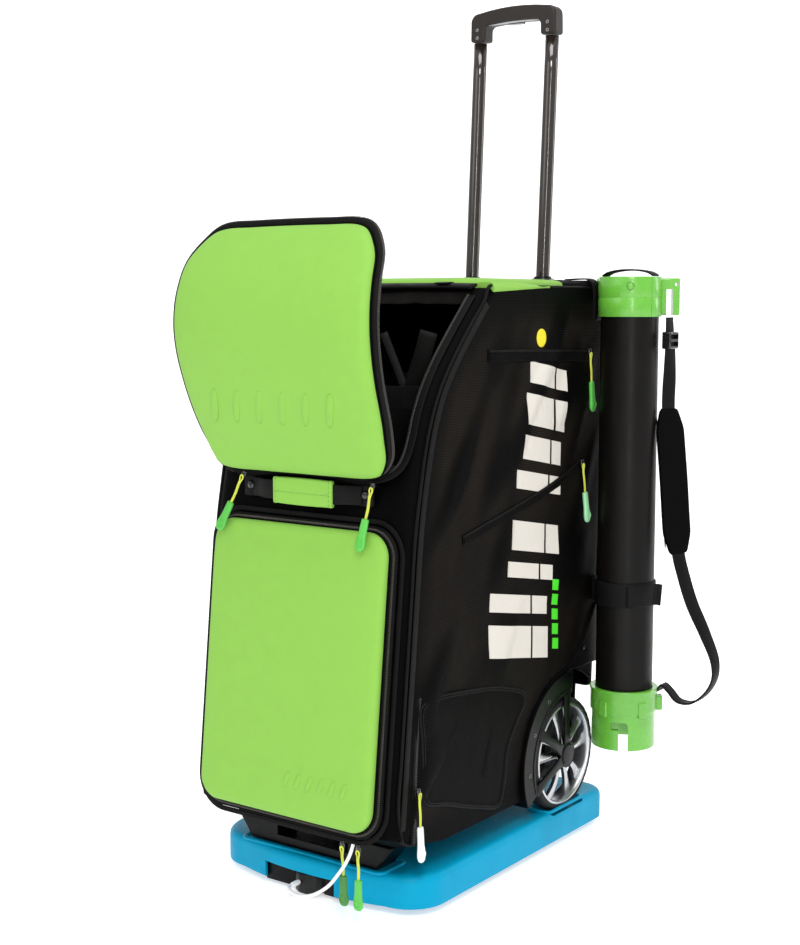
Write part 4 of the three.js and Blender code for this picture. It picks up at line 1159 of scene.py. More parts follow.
FLAP_BAND, FLAP_DROP = 6.0, 5.0
FLAP_LOW, FLAP_HIGH, FLAP_MIDDLE = 583, 907, 745


def flap_rings(profile):
    """Rings inside the flap's outline: (inset, depth in front of the rim) in millimetres, or a share of the outline's
    size where the inset is negative. A third value of 1 puts the ring inside the zip band, which runs up both sides and
    over the top; along the lower edge the foam covers the rim instead."""
    base = flap_outline()
    along = tangents(base, True)
    middle = Vector((0, 0, FLAP_MIDDLE))
    rows = []
    for inset, depth, inner in profile:
        ring = []
        for p, t in zip(base, along):
            n = Vector((-t.z, 0, t.x))
            side = share((0.8 - n.z) / 0.6) * inner
            start = p + n * (FLAP_BAND * side) - Vector((0, 0, FLAP_DROP * share((n.z - 0.3) / 0.5) * inner))
            if inset >= -1:
                q = start + n * inset
            else:
                q = middle + (start + n * 16 - middle) * (-inset / 100)
            z = min(max(q.z, FLAP_LOW - FLAP_DROP), FLAP_HIGH)
            ring.append(Vector((q.x, eased(FLAP_RIM, z, 20) - depth, q.z)))
        rows.append(ring)
    return rows


def build_flap():
    body = "front_flap"
    profile = [(-4, -0.8), (-28, -0.8), (-56, -0.8), (-80, -0.8), (15, -0.8), (8, -0.9), (3.4, -1.0), (2.6, 3.0),
               (2.4, 5.6), (3.0, 8.4), (4.8, 11.2), (8.0, 13.8), (12.4, 15.6), (-97, 16.8), (-92, 18.0), (-86, 18.9),
               (-78, 19.6), (-68, 20.3), (-56, 20.8), (-42, 21.1), (-28, 21.2), (-14, 21.3), (-4, 21.3)]
    panel = skinned("flap_panel", flap_rings([(inset, depth, 1) for inset, depth in profile]), "foam", body,
                    replaces=("front_flap",))
    bars = []
    for k in range(6):
        x = -112 + 39 * k
        ends = [Vector((u, eased(FLAP_RIM, z, 20) - 20.2, z)) for u, z in ((x, 646), (x + 15, 690))]
        out = Vector((0, -(ends[1].z - ends[0].z), ends[1].y - ends[0].y)).normalized()
        bars.append(emboss(ends, 6.2, out))
    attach(merged("flap_emboss", *bars), body)
    back = [(-5, -1.2), (-40, -1.2), (-80, -1.2), (15, -1.2), (5.4, -1.2), (5.4, -3.4), (10, -4.6), (15, -5.0),
            (-80, -5.0), (-40, -5.0), (-5, -5.0)]
    skinned("flap_lining", flap_rings([(inset, depth, 1) for inset, depth in back]), "lining", body)
    rim = [(0.8, -4.0, 0), (-0.2, -2.0, 0), (-0.4, 1.0, 0), (0.2, 2.8, 0), (1.4, 3.8, 0), (2.8, 4.0, 0), (3.6, 3.6, 1),
           (4.6, 2.0, 1), (4.6, -3.4, 1), (2.4, -4.6, 0)]
    skinned("flap_rim", flap_rings(rim), "satin", body, closed_path=True)
    edge = flap_rings([(-0.5, -0.6, 0)])[0]
    centre = Vector((0, -280, FLAP_MIDDLE))
    outward = [(p - centre) * Vector((1, 0, 1)) for p in edge]
    zip_teeth("flap_teeth", edge, outward, body, closed=True, width=4.2)
    sweep("flap_piping", flap_rings([(1.8, 4.4, 1)])[0], circle(1.4, 8), "plain", body, up=(0, -1, 0), closed=True)
    # cloth hinge from the bag's front up to the flap
    profile = [(-222.5, 566), (-230, 567), (-239, 569.5), (-246, 574), (-249.5, 580), (-250.6, 586), (-250.8, 590)]
    line = smooth_path([(0, y, z) for y, z in profile], 3.0)
    along = tangents(line)
    rows = []
    for at, t in zip(line, along):
        n = Vector((0, -t.z, t.y))
        row = [Vector((118 * s / 12, 0, 0)) + at + n * 1.2 for s in range(-12, 13)]
        row += [Vector((118 * s / 12, 0, 0)) + at - n * 1.2 for s in range(12, -13, -1)]
        rows.append(row)
    strip = sharpen(skinned("flap_hinge_cloth", rows, "plain", None), 50)
    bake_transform(strip)


# ---------- carry handle ----------
CARRY_Z, CARRY_Y, STUD_X = 555, -252.4, 98
# sections of the padded grip: place along it, growth of its outline
GRIP = ((-44, -2.6), (-43.8, -1.2), (-43, -0.4), (-41, 0), (-38, -0.5), (-20, 0.1), (5, 0.3), (30, 0.1), (50, -0.5),
        (53, 0), (55, -0.4), (55.8, -1.2), (56, -2.6))


def build_carry_handle():
    run = [(-93, -238.2), (-86, -240.5), (-78, -243.5), (-62, -251.0), (-30, -252.4), (30, -252.4), (62, -251.0),
           (78, -243.5), (86, -240.5), (93, -238.2)]
    line = smooth_path([(x, y, CARRY_Z) for x, y in run], 5)
    sweep("carry_webbing", line, flat_profile(26, 2.4), "webbing", up=(0, -1, 0), replaces=("carry_strap",))
    rows = []
    for x, grow in GRIP:
        section = []
        for p, q in outline_box(-18.0 - grow, 18.0 + grow, -3.4 - 0.5 * grow, 3.8 + 0.5 * grow, 2.6 + 0.4 * grow, 4):
            seam = 1.1 * math.exp(-(p / 1.3) ** 2) if q > 0 else 0.0
            section.append(Vector((x, CARRY_Y - (q - seam), CARRY_Z + p)))
        rows.append(section)
    grip = skinned("carry_grip_pad", rows, "foam", replaces=("carry_grip",))
    seam = [(-42, -255.6, CARRY_Z), (6, -255.8, CARRY_Z), (54, -255.6, CARRY_Z)]
    sweep("carry_grip_seam", seam, circle(0.45, 6), "tab_dark", up=(0, -1, 0))
    run = [(-42, -256.4, 553.2), (54, -256.4, 553.2)]
    stitches("carry_grip_stitch_seam", run, "tab_dark", lift=(0, -1, 0), radius=0.35)
    for x in (-39.5, 51.5):  # beside the grip's two ends
        run = [(x, -256.2, 539), (x, -256.2, 571)]
        stitches(f"carry_grip_stitch_{int(x)}", run, "tab_dark", lift=(0, -1, 0), radius=0.35)
    for side, tag in SIDES:
        profile = [(0.3, -241.4), (3.4, -241.2), (5.4, -240.0), (6.0, -238.4), (0.3, -238.2)]
        turned("carry_stud_" + tag, (STUD_X * side, CARRY_Z + 1), profile, "gloss", axis="y", sides=28)
        # sewn anchor patch
        box = outline_box(STUD_X * side - 12, STUD_X * side + 12, 541, 569, 3)
        slab("carry_anchor_" + tag, box, "y", -238.2, -233.6, "webbing", bevel=0.8)


# ---------- top ----------
def build_top():
    def ring(inset, z):
        box = (-138 + inset, 138 - inset, -54 + inset, 214 - inset)
        return [Vector((x, y, z)) for x, y in outline_box(*box, max(30 - inset, 6), 8)]
    rows = [ring(inset, z) for inset, z in ((3, 822.6), (0.5, 824), (0.3, 827), (1.5, 830), (4.5, 832.8), (9, 834.6),
                                            (16, 835.7), (30, 836.6), (52, 837.4), (80, 837.8), (110, 838))]
    pad = skinned("top_pad", rows, "foam", replaces=("top_panel",))
    edge = [Vector((x, y, 824.4)) for x, y in outline_box(-140, 140, -56, 216, 32, 8)]
    sweep("top_pad_piping", edge, circle(2.4, 10), "satin", up=(0, 0, 1), closed=True)
    # the pad's green cloth runs out over the side at the front and narrows towards the back
    for side, tag in SIDES:
        loops = []
        for k in range(27):
            t = k / 26
            low, top = 816.5 + 7.0 * t, 829.5 + 1.5 * math.sin(math.pi * t) - 4.5 * t * t
            loops.append([Vector((side * x, -54 + 146 * t, z)) for x, z in (
                (172.6, low), (174.0, low + 2.0), (174.2, 0.5 * (low + top)), (172.6, top - 2.4), (169.6, top - 0.7),
                (164, top), (152, top), (146, top - 1.0), (143.2, top - 3.0), (143.2, 821.6), (168, 821.6))])
        cheek = sharpen(skinned("top_pad_cheek_" + tag, loops, "foam"), 50)
    plate = slab("trolley_plate", outline_box(-110, 110, 222, 280, 16, 8), "z", 822.4, 837, "guard", None, bevel=4.0,
                 segments=4)
    holes = [bore((ROD_X * s, 253.5), 14.4, 790, 850, 40) for s in (1, -1)]
    carve(plate, *holes)
    sharpen(plate, 40)
    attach(plate, TABLE)
    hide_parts("trolley_bezel")
    for s, tag in SIDES:
        profile = [(13.2, 833), (17.5, 833), (17.5, 838.4), (16.4, 839.6), (14.0, 839.6), (13.2, 838.6)]
        turned("plate_collar_" + tag, (ROD_X * s, 253.6), profile, "gloss", sides=48)
        for y in (229, 273):
            profile = [(0.2, 837.9), (1.4, 837.9), (1.6, 837.2), (2.6, 837.2), (2.9, 837.9), (3.6, 837.7),
                       (4.0, 836.8), (0.2, 836.6)]
            turned(f"plate_screw_{tag}_{y}", (96 * s, y), profile, "steel", sides=20)
    # folded loops of webbing along the hem of the mouth
    for x in (-96, 98):
        sweep(f"hem_loop_{x}", smooth_path([(x, -70, 828.2), (x, -62, 829.4), (x, -50, 828.6), (x, -44, 825)], 2),
              flat_profile(22, 2.0), "webbing", up=(0, 0, 1))
    # gathered cloth over the two rear corners
    for side, tag in SIDES:
        rows = []
        for inset, z in ((0, 822.2), (0.2, 826), (1.2, 829.6), (3.5, 832.4), (7, 834.2), (12, 835), (20, 835.4)):
            row = []
            for x, y in outline_box(114 + inset, 172 - inset, 190 + 2.4 * inset, 280 - inset,
                                    max(4, 16 - 0.4 * inset), 6):
                fold = 1.8 * noise.noise(Vector((x * 0.06, y * 0.035, 3.0 * side))) * min(1.0, inset / 6)
                row.append(Vector((x * side, y, z + fold)))
            rows.append(row)
        apply_modifier(skinned("corner_cloth_" + tag, rows, "plain"), "SUBSURF", levels=1, render_levels=1)
    # the strap over the rear right corner, whose end hangs down the side
    line = smooth_path([(128, 223, 836.6), (150, 222, 837.4), (166, 221, 836.6), (175, 220, 831), (177, 221, 820),
                        (177.2, 223, 800), (176.6, 226, 776)], 4)
    over = [share((835 - p.z) / 9) for p in line]
    sweep("corner_strap", line, flat_profile(19, 2.0), "webbing", up=[Vector((t, 0, 1 - t)).normalized() for t in over])


def build_rear():
    """A raised panel and two skid rails on the rear wall, which the photograph does not show."""
    loop = even_path([(x, 0, z) for x, z in outline_box(-124, 124, 300, 770, 30, 8)], 11, closed=True)
    middle = Vector((0, 0, 535))

    def place(q, proud, ripples):
        quilt = 0.8 * noise.noise(Vector((q.x * 0.02, q.z * 0.012, 6.0))) if ripples else 0.0
        return Vector((q.x, follow(REAR, q.z) + 1.0 + proud + quilt, q.z))
    cushion("rear_panel", loop, middle, REAR_STEPS, place)
    rim = [Vector((p.x, follow(REAR, p.z) + 3.0, p.z)) for p in loop]
    sweep("rear_panel_piping", rim, circle(2.2, 8), "satin", up=(0, 1, 0), closed=True)
    inner = [middle + (p - middle) * 0.94 for p in loop]
    stitches("rear_panel_stitch", [Vector((p.x, follow(REAR, p.z) + 5.0, p.z)) for p in inner], "webbing",
             lift=(0, 1, 0), closed=True, radius=0.5)
    rail = [(9, -1.5), (9, 2.5), (7.2, 6.2), (3.6, 8.2), (-3.6, 8.2), (-7.2, 6.2), (-9, 2.5), (-9, -1.5)]
    for side, tag in SIDES:
        line = [Vector((160 * side, follow(REAR, z), z)) for z in range(272, 563, 10)]
        obj = sweep("skid_rail_" + tag, line, rail, "guard", up=(0, 1, 0),
                    scale=lambda t: min(1.0, 0.55 + 6 * t, 0.55 + 6 * (1 - t)))
        sharpen(obj, 40)
        screws = []
        for z in (300, 420, 540):
            y = follow(REAR, z) + 8.0
            profile = [(0.3, y + 0.4), (1.3, y + 0.4), (1.5, y + 1.0), (3.0, y + 1.1), (3.6, y + 0.5),
                       (3.7, y - 0.2), (0.3, y - 0.3)]
            screws.append(turned("screw", (160 * side, z), profile, "gloss", None, 20, "y"))
        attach(merged("skid_rail_screws_" + tag, *screws), TABLE)


# ---------- trolley ----------
SLOPE = 23 / 397  # the rods lean back


def on_rod(x, z):
    """The point of a rod's middle line at height z."""
    return Vector((x, 252 + (z - 810) * SLOPE, z))


def build_trolley():
    body = "handle"
    for side, tag in SIDES:
        x = ROD_X * side
        line = [on_rod(x, z) for z in (751, 850, 1000, 1150, 1206)]
        sweep("rod_" + tag, line, circle(10.5, 48), "rod", body, up=(0, 1, 0), replaces=("trolley_rod_" + tag,))
        # the sleeve's guide bush, seen just above the plate
        bush = on_rod(x, 842)
        profile = [(10.9, 828), (13.4, 828), (13.4, 841.4), (12.4, 842.6), (10.9, 842.6)]
        turned("rod_bush_" + tag, (bush.x, bush.y), profile, "guard", TABLE, 48)

    outer = [(77, 1208)] + arc(63, 1238, 13.5, 0, 75)
    outer += [(40, 1254.6), (20, 1256.2), (0, 1256.8), (-20, 1256.2), (-40, 1254.6)]
    outer += arc(-63, 1238, 13.5, 105, 180) + [(-77, 1208), (-50, 1208)]
    inner = [(-50, 1222)] + arc(-42, 1224, 8, 180, 100, 4) + [(-20, 1233.4), (0, 1233.8), (20, 1233.4)]
    inner += arc(42, 1224, 8, 80, 0, 4) + [(50, 1208)]
    grip = slab("grip_bar", outer + inner, "y", 262.2, 289.8, "grip", None)
    rounded_off(grip, 4.5, 4, 40)
    carve(grip, block("pocket", (-14.6, 14.6), (268.4, 283.6), (1224, 1247), "black", None))
    sharpen(grip, 40)
    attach(grip, body)
    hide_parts("handle_grip")
    slab("grip_underside", [(-44, 1231.4), (44, 1231.4), (42, 1234.2), (16, 1235), (-16, 1235), (-42, 1234.2)], "y",
         266, 267.8, "rim", body)
    slab("grip_button_bar", outline_box(-13.7, 13.7, 269.2, 282.8, 3.5, 5), "z", 1230.2, 1240, "gloss",
         "grip_button", bevel=1.0, replaces=("grip_button",))
    for side in (1, -1):
        for z in (1214, 1226):
            profile = [(0.3, 262.4), (1.2, 262.4), (1.3, 261.7), (2.4, 261.7), (2.8, 262.1), (2.9, 263.0), (0.3, 263.2)]
            turned(f"grip_screw_{'right' if side > 0 else 'left'}_{z}", (63.5 * side, z), profile, "steel", body, 20,
                   "y")


# ---------- wheels ----------
HUB = WHEEL_Y, WHEEL_Z = 151, 133


def build_wheel(side, tag):
    body = "wheel_" + tag

    def x(value):
        return value * side

    tyre = [(76.4, 146), (79, 145.4), (82.4, 147), (84.4, 150.4), (85, 155), (85, 164), (84.4, 169), (82.4, 172.4),
            (79, 173.8), (76.4, 173.2)]
    rows = []
    for r, h in tyre:
        row = []
        for k in range(144):
            a = 2 * math.pi * k / 144
            notch = 0.8 if (k % 4 == 0 and r > 82 and (h < 152 or h > 167)) else 0.0
            groove = 0.7 if abs(h - 159.5) < 5 and r > 84.5 and k % 4 == 2 else 0.0
            rr = r - notch - groove
            row.append((x(h), WHEEL_Y + rr * math.cos(a), WHEEL_Z + rr * math.sin(a)))
        rows.append(row)
    skinned("tread_" + tag, rows, "tyre", body, replaces=("tyre_" + tag,), closed_path=True)

    profile = [(75.9, 147), (75.9, 173), (74.6, 173.6), (72.6, 173.2), (71.2, 171.2), (70.4, 168), (69.8, 160),
               (69.6, 148), (70.5, 147)]
    rim = turned("rim_" + tag, HUB, [(r, x(h)) for r, h in profile], "rim", body, 96, "x")
    parts = [rim]
    # sculpted double spokes, raised along their middle and hollowed towards the hub
    for k in range(5):
        for lean in (-13, 13):
            a = math.radians(90 + 72 * k + lean)
            rows = []
            for s in range(13):
                t = s / 12
                r = 11 + (72 - 11) * t
                twist = math.radians(lean * 0.22 * math.sin(math.pi * t))
                width = 6.6 - 2.6 * math.sin(math.pi * min(1, t * 1.1)) + 2.2 * t ** 3
                crown = 169.5 - 5.5 * t + 2.2 * math.sin(math.pi * t)
                mid = Vector((0, math.cos(a + twist), math.sin(a + twist)))
                across = Vector((0, -mid.z, mid.y))
                base = Vector((0, WHEEL_Y, WHEEL_Z)) + mid * r
                section = [(-1.0, -6.5), (-1.0, -1.4), (-0.55, -0.2), (0, 0.5), (0.55, -0.2), (1.0, -1.4), (1.0, -6.5)]
                rows.append([base + across * (w * width) + Vector((x(crown + h), 0, 0)) for w, h in section])
            parts.append(skinned("spoke", rows, "rim", None))
    hub = [(7.0, 148), (17, 148), (17, 166), (15.5, 169.4), (13, 170.6), (7.0, 170.9)]
    parts.append(turned("hub", HUB, [(r, x(h)) for r, h in hub], "rim", None, 48, "x"))
    joined = merged("rim_" + tag, *parts)
    sharpen(joined, 45)
    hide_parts("wheel_rim_" + tag)
    # lug nuts between the spokes
    nuts = []
    for k in range(5):
        a = math.radians(90 + 36 + 72 * k)
        at = (WHEEL_Y + 12.2 * math.cos(a), WHEEL_Z + 12.2 * math.sin(a))
        profile = [(r, x(h)) for r, h in ((0.2, 172.2), (1.7, 172.0), (2.1, 171.0), (2.1, 170.0), (0.2, 170.0))]
        nuts.append(turned("nut", at, profile, "steel", None, 12, "x"))
    joined = merged("wheel_nuts_" + tag, *nuts)
    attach(joined, body)


GUARD_IN, GUARD_OUT = 92.5, 124.5  # radii of the band round the front and top of the wheel
GUARD_NEAR, GUARD_FAR = 175.4, 179.0  # its two faces


def build_housing(side, tag):
    span = sorted((GUARD_NEAR * side, GUARD_FAR * side))
    band = arc(*HUB, GUARD_OUT, 84, 205, 40) + arc(*HUB, GUARD_IN, 84, 205, 40)[::-1]
    face = slab("housing_face_" + tag, band, "x", *span, "guard", None)
    rounded_off(face, 1.2, 3, 40)
    arms = []
    for degrees in (92, 148, 202):
        a = math.radians(degrees)
        c, s = math.cos(a), math.sin(a)
        edge = [(14, 10), (30, 7.4), (60, 6.0), (96, 9.0)]
        edge += [(r, -w) for r, w in reversed(edge)]
        outline = [(WHEEL_Y + r * c - w * s, WHEEL_Z + r * s + w * c) for r, w in edge]
        arms.append(slab("arm", outline, "x", *span, "guard", None, bevel=1.0))
    cap_profile = [(0.3, 179.9), (13.5, 179.9), (15, 179.6), (16, 179.0), (17.5, 179.0), (18.6, 179.4), (20, 178.6),
                   (20, 175.6), (0.3, 175.6)]
    cap = turned("cap", HUB, [(r, h * side) for r, h in cap_profile], "guard", None, 56, "x")
    wall = []
    for k in range(41):
        a = math.radians(88 + 117 * k / 40)
        wall.append([Vector((h * side, WHEEL_Y + r * math.cos(a), WHEEL_Z + r * math.sin(a)))
                     for h, r in ((138, 121.2), (178.6, 121.2), (179.4, 122), (179.4, 124), (178.6, 124.8),
                                  (138, 124.8))])
    arch = sharpen(skinned("arch", wall, "guard", None), 40)
    back = [p for p in arc(*HUB, 121, 70, 200, 32) if p[0] < WHEEL_Y + 74] + [(38, 92), (WHEEL_Y + 74, 92)]
    backing = slab("backing", back, "x", *sorted((138 * side, 141 * side)), "guard", None)
    carve(backing, bore(HUB, 6.6, 100 * side, 200 * side, 32, "x"))
    joined = merged("housing_" + tag, face, *arms, cap, arch, backing)
    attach(joined, TABLE)
    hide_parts("wheel_housing_" + tag)
    screws = []
    for degrees in (122, 152, 183):
        a = math.radians(degrees)
        at = (WHEEL_Y + 108.5 * math.cos(a), WHEEL_Z + 108.5 * math.sin(a))
        profile = [(0.3, 179.0), (1.3, 179.0), (1.5, 179.7), (3.0, 179.8), (3.6, 179.2), (3.7, 178.6), (0.3, 178.4)]
        screws.append(turned("screw", at, [(r, h * side) for r, h in profile], "gloss", None, 20, "x"))
    joined = merged("housing_screws_" + tag, *screws)
    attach(joined, TABLE)
    rib = [(GUARD_FAR * side, y, z) for y, z in arc(*HUB, 98.5, 86, 203, 40)]
    sweep("housing_rib_" + tag, rib, circle(1.2, 8), "guard", up=(side, 0, 0))
    # the guard's wing, which climbs the rear corner of the bag
    wing = smooth_path([(92, 244, 0), (122, 257, 0), (160, 268, 0), (196, 292, 0), (220, 320, 0), (236, 346, 0)], 6)
    outline = [(p.x, p.y) for p in wing] + [(248, 350), (249, 330), (246, 258.5), (160, 258.5), (118, 252)]
    obj = slab("housing_wing_" + tag, outline, "x", *sorted((171.0 * side, 175.2 * side)), "guard", None)
    rounded_off(obj, 1.0, 2, 40)
    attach(obj, TABLE)
    turned("wing_screw_" + tag, (204, 284), [(r, (h - 3.9) * side) for r, h in profile], "gloss", TABLE, 20, "x")


# ---------- turntable ----------
DRUM_Y = -230.4
TRAY_HALF, TRAY_FRONT, TRAY_REAR, TRAY_BOW = 181, -233, 270, 17
TRAY_NOSE, TRAY_TAIL = 55, 30  # corner radii


def tray_outline(inset, parts=10):
    """The tray's outline from above, its front edge bowed."""
    half, front, rear = TRAY_HALF - inset, TRAY_FRONT + inset, TRAY_REAR - inset
    out = []
    for k in range(25):
        t = k / 24
        x = (-half + TRAY_NOSE) * (1 - t) + (half - TRAY_NOSE) * t
        out.append((x, front - 4 * TRAY_BOW * t * (1 - t)))
    out += arc(half - TRAY_NOSE, front + TRAY_NOSE, TRAY_NOSE, -90, 0, parts)[1:]
    out += arc(half - TRAY_TAIL, rear - TRAY_TAIL, TRAY_TAIL, 0, 90, parts)
    out += arc(-half + TRAY_TAIL, rear - TRAY_TAIL, TRAY_TAIL, 90, 180, parts)
    return out + arc(-half + TRAY_NOSE, front + TRAY_NOSE, TRAY_NOSE, 180, 270, parts)[:-1]


def build_tray():
    rows = [[Vector((x, y, z)) for x, y in tray_outline(i)] for i, z in
            ((1.2, 10), (0.2, 10.8), (0, 14), (0, 44), (0.5, 48), (2.0, 51.2), (4.4, 53.6), (7.6, 54.8), (10.5, 55))]
    tray = skinned("tray_body", rows, "blue", None)
    hollow = slab("hollow", tray_outline(4), "z", 5, 43, "blue", None)
    notch = slab("notch", outline_box(-74, 50, -300, -214, 4), "z", 5, 33, "blue", None)
    pivot = bore((0, 0), 12.4, 0, 99)
    wells = [slab("recess", outline_box(side * 160 - 19.8, side * 160 + 19.8, 103, 199, 6), "z", 46.5, 99, "blue",
                  None) for side in (1, -1)]
    carve(tray, hollow, notch, pivot, *wells)
    sharpen(tray, 35)
    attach(tray, TABLE)
    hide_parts("turntable_tray")
    for side, tag in SIDES:
        line = [(x, y, 55.4) for x, y in outline_box(side * 159 - 20, side * 159 + 17.5, 101, 201, 8, 6)]
        sweep("recess_rim_" + tag, line, [(3.0 * a, 2.4 * b) for a, b in circle(1.0, 10)], "blue", up=(0, 0, 1),
              closed=True)
    line = [(x, y, 55.2) for x, y in outline_box(-122, 122, -238, -182, 10, 6)]
    sweep("foot_rim", line, [(3.4 * a, 2.6 * b) for a, b in circle(1.0, 10)], "blue", up=(0, 0, 1), closed=True)

    # the drive's bearing plate, seen through the notch
    slab("drive_plate", outline_box(-73, 49, 16.6, 42.4, 2), "y", -213, -209.5, "guard", bevel=0.8)
    # near-black panels that close the notch on either side of the drive drum
    for tag, x0, x1 in (("left", -77, -25), ("right", 25, 53)):
        slab("notch_dark_panel_" + tag, outline_box(x0, x1, 5.4, 40, 2), "y", -238.5, -235.5, "guard", bevel=0.8)

    # drive drum with its soft facets
    rows = []
    for r, z in ((21.5, 5.2), (23.2, 6.4), (23.5, 9), (23.5, 27), (22.8, 30.2), (21.4, 32.0), (16, 32.4),
                 (15.0, 33.2), (14.8, 42.4), (12, 42.5)):
        row = []
        for k in range(96):
            a = 2 * math.pi * k / 96
            reach = r * (1 - 0.012 * math.cos(12 * a))
            row.append(Vector((reach * math.cos(a), DRUM_Y + reach * math.sin(a), z)))
        rows.append(row)
    drum = skinned("drive_drum", rows, "black", None)
    carve(drum, bore((0, DRUM_Y), 18.5, 0, 15, 40),
          block("mesh_space", (-40, 40), (DRUM_Y, -150), (0, 15), "black", None),
          bore(SOCKET, 4.0, -270, -252.5, 28, "y"))
    sharpen(drum, 35)
    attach(drum, TABLE)
    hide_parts("drive_housing")

    foot = slab("foot_block", [(-110, 55.4), (110, 55.4), (137, 91.6), (-137, 91.6)], "y", -232, -190, "guard", None)
    rounded_off(foot, 3.0, 3, 40)
    carve(foot, block("window", (-62, 62), (-300, -100), (69, 85), "black", None))
    sharpen(foot, 40)
    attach(foot, TABLE)
    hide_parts("front_foot")


# ---------- ball tube ----------
TUBE = TUBE_X, TUBE_Y = 224, 238
HOOK_TURN, SNAP_TURN = 36, -62  # degrees about the tube
SNAP_Z, BAND_Z = 826, 372


def radial(name, degrees, r, half, z, body=None, bevel=0.0):
    """A lime block that stands out from the tube between two radii."""
    return block(name, r, (-half, half), z, "lime", body, bevel, degrees, TUBE)


def onto_tube(obj, degrees, z, out=0.0):
    """Moves a part made about the origin to a height of the tube, turned and moved outwards."""
    place = Matrix.Translation((TUBE_X * MM, TUBE_Y * MM, z * MM))
    obj.data.transform(place @ Matrix.Rotation(math.radians(degrees), 4, "Z") @ Matrix.Translation((out * MM, 0, 0)))
    return obj


def build_tube():
    turned("tube_body", TUBE, [(40, 187), (42.5, 187), (42.5, 826), (40, 826)], "satin_tube", sides=96,
           replaces=("ball_tube",))

    profile = [(42.8, 782.6), (43.6, 782), (46.0, 782), (46.5, 782.8), (46.5, 808.5), (46.1, 809.2), (46.1, 810.2),
               (46.5, 811), (46.5, 838.8), (45.6, 840), (43.2, 840), (42.4, 839), (42.2, 836), (0.4, 835.6),
               (0.4, 826.6), (42.8, 826.6)]
    collar = turned("top_collar", TUBE, profile, "lime", None, 96)
    hook = radial("hook", HOOK_TURN, (43.4, 72), 9, (784, 838), bevel=2.2)
    slot = radial("slot", HOOK_TURN, (52, 62), 20, (770, 822))
    carve(hook, slot)
    eye = bore((0, 0), 2.8, 0, 60, 24, "y")
    eye.data.transform(Matrix.Translation((0, -30 * MM, 0)))
    carve(hook, onto_tube(eye, HOOK_TURN, 829, 67))
    loop = radial("loop", 180, (44.4, 51), 9, (806, 838), bevel=1.2)
    carve(loop, radial("gap", 180, (47.4, 49.2), 20, (812, 832)))
    groove = [radial("seam", d, (45.9, 50), 0.5, (784, 838)) for d in (-20, 160)]
    dimple = bore((0, 0), 6.4, 44.8, 60, 40, "x")
    carve(collar, *groove, onto_tube(dimple, SNAP_TURN, SNAP_Z))
    joined = merged("top_collar", collar, hook, loop)
    sharpen(joined, 40)
    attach(joined, TABLE)
    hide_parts("tube_top_collar")
    profile = [(0.3, 46.9), (3.0, 46.8), (4.6, 46.2), (5.2, 45.2), (5.2, 44.8), (0.3, 44.8)]
    button = turned("collar_button", (0, 0), profile, "lime", None, 40, "x")
    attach(onto_tube(button, SNAP_TURN, SNAP_Z), TABLE)

    rise = ((-41, 841.6), (-34, 845.8), (-16, 849.4), (0, 850.2), (16, 849.4), (34, 845.8), (41, 841.6))
    arch = smooth_path([(TUBE_X + x, TUBE_Y, z) for x, z in rise], 4)
    sweep("tube_handle", arch, flat_profile(22, 2.4), "webbing", up=(0, 0, 1), replaces=("tube_handle_strap",))

    profile = [(42.8, 226.4), (42.8, 186.6), (39.6, 186.6), (39.6, 146), (43.6, 138), (46.6, 138), (47.5, 139),
               (47.5, 189.5), (48.2, 191.6), (49.8, 194), (50, 196), (50, 212), (50.2, 222), (51.4, 226),
               (50.6, 227.6), (43.4, 227.2)]
    foot = turned("bottom_collar", TUBE, profile, "lime", None, 96)

    def keyway(degrees):
        a = radial("key", degrees, (30, 60), 7.0, (120, 176))
        b = radial("key_side", degrees - 14, (30, 60), 7.5, (169, 181))
        top = bore((0, 0), 7.0, 30, 60, 32, "x")
        return a, b, onto_tube(top, degrees, 174.5)
    carve(foot, *keyway(-62), *keyway(62))
    eyelet = radial("eyelet", 30, (46.5, 58), 9, (192, 214), bevel=2.4)
    carve(eyelet, bore(arc(*TUBE, 54, 30, 30, 1)[0], 2.4, 180, 226, 24))
    joined = merged("bottom_collar", foot, eyelet)
    sharpen(joined, 40)
    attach(joined, TABLE)
    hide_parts("tube_bottom_collar")
    for degrees in (-100, -28, 60):
        radial(f"collar_lobe_{degrees + 100}", degrees, (46.4, 51.4), 7, (188, 212), TABLE, bevel=2.0)

    def outwards(path):
        return [(Vector((x, y, 0)) - Vector((TUBE_X, TUBE_Y, 0))).normalized() for x, y, _ in path]
    band = [(TUBE_X + x, TUBE_Y + y, BAND_Z) for x, y in circle(44.2, 72)]
    sweep("tube_band", band, flat_profile(36, 2.2), "webbing", up=outwards(band), closed=True,
          replaces=("tube_retaining_strap",))
    slab("tube_band_patch", outline_box(228, 246, 354, 390, 2), "x", 172.6, 179.0, "webbing", bevel=1.0)
    tail = [(x, y, BAND_Z) for x, y in arc(*TUBE, 45.9, -60, 0, 10)]
    tail += [(TUBE_X + 50, TUBE_Y + 8, 371), (TUBE_X + 53, TUBE_Y + 13, 369.5)]
    sweep("tube_band_tail", tail, flat_profile(32, 2.0), "webbing", up=outwards(tail))
    slab("tube_hook", [(146, 822.6), (158, 832), (171, 832), (171, 822.6)], "y", 228, 250, "black", bevel=1.0,
         replaces=("tube_hanger",))


STRAP = [(277, 781), (278, 760), (279, 733), (279, 700), (278, 648), (283, 600), (289, 540), (294, 480), (299, 432),
         (308, 400), (322, 361), (344, 318), (361, 278), (361, 252), (348, 228), (326, 211), (304, 211), (290, 224),
         (278, 232), (272, 222)]


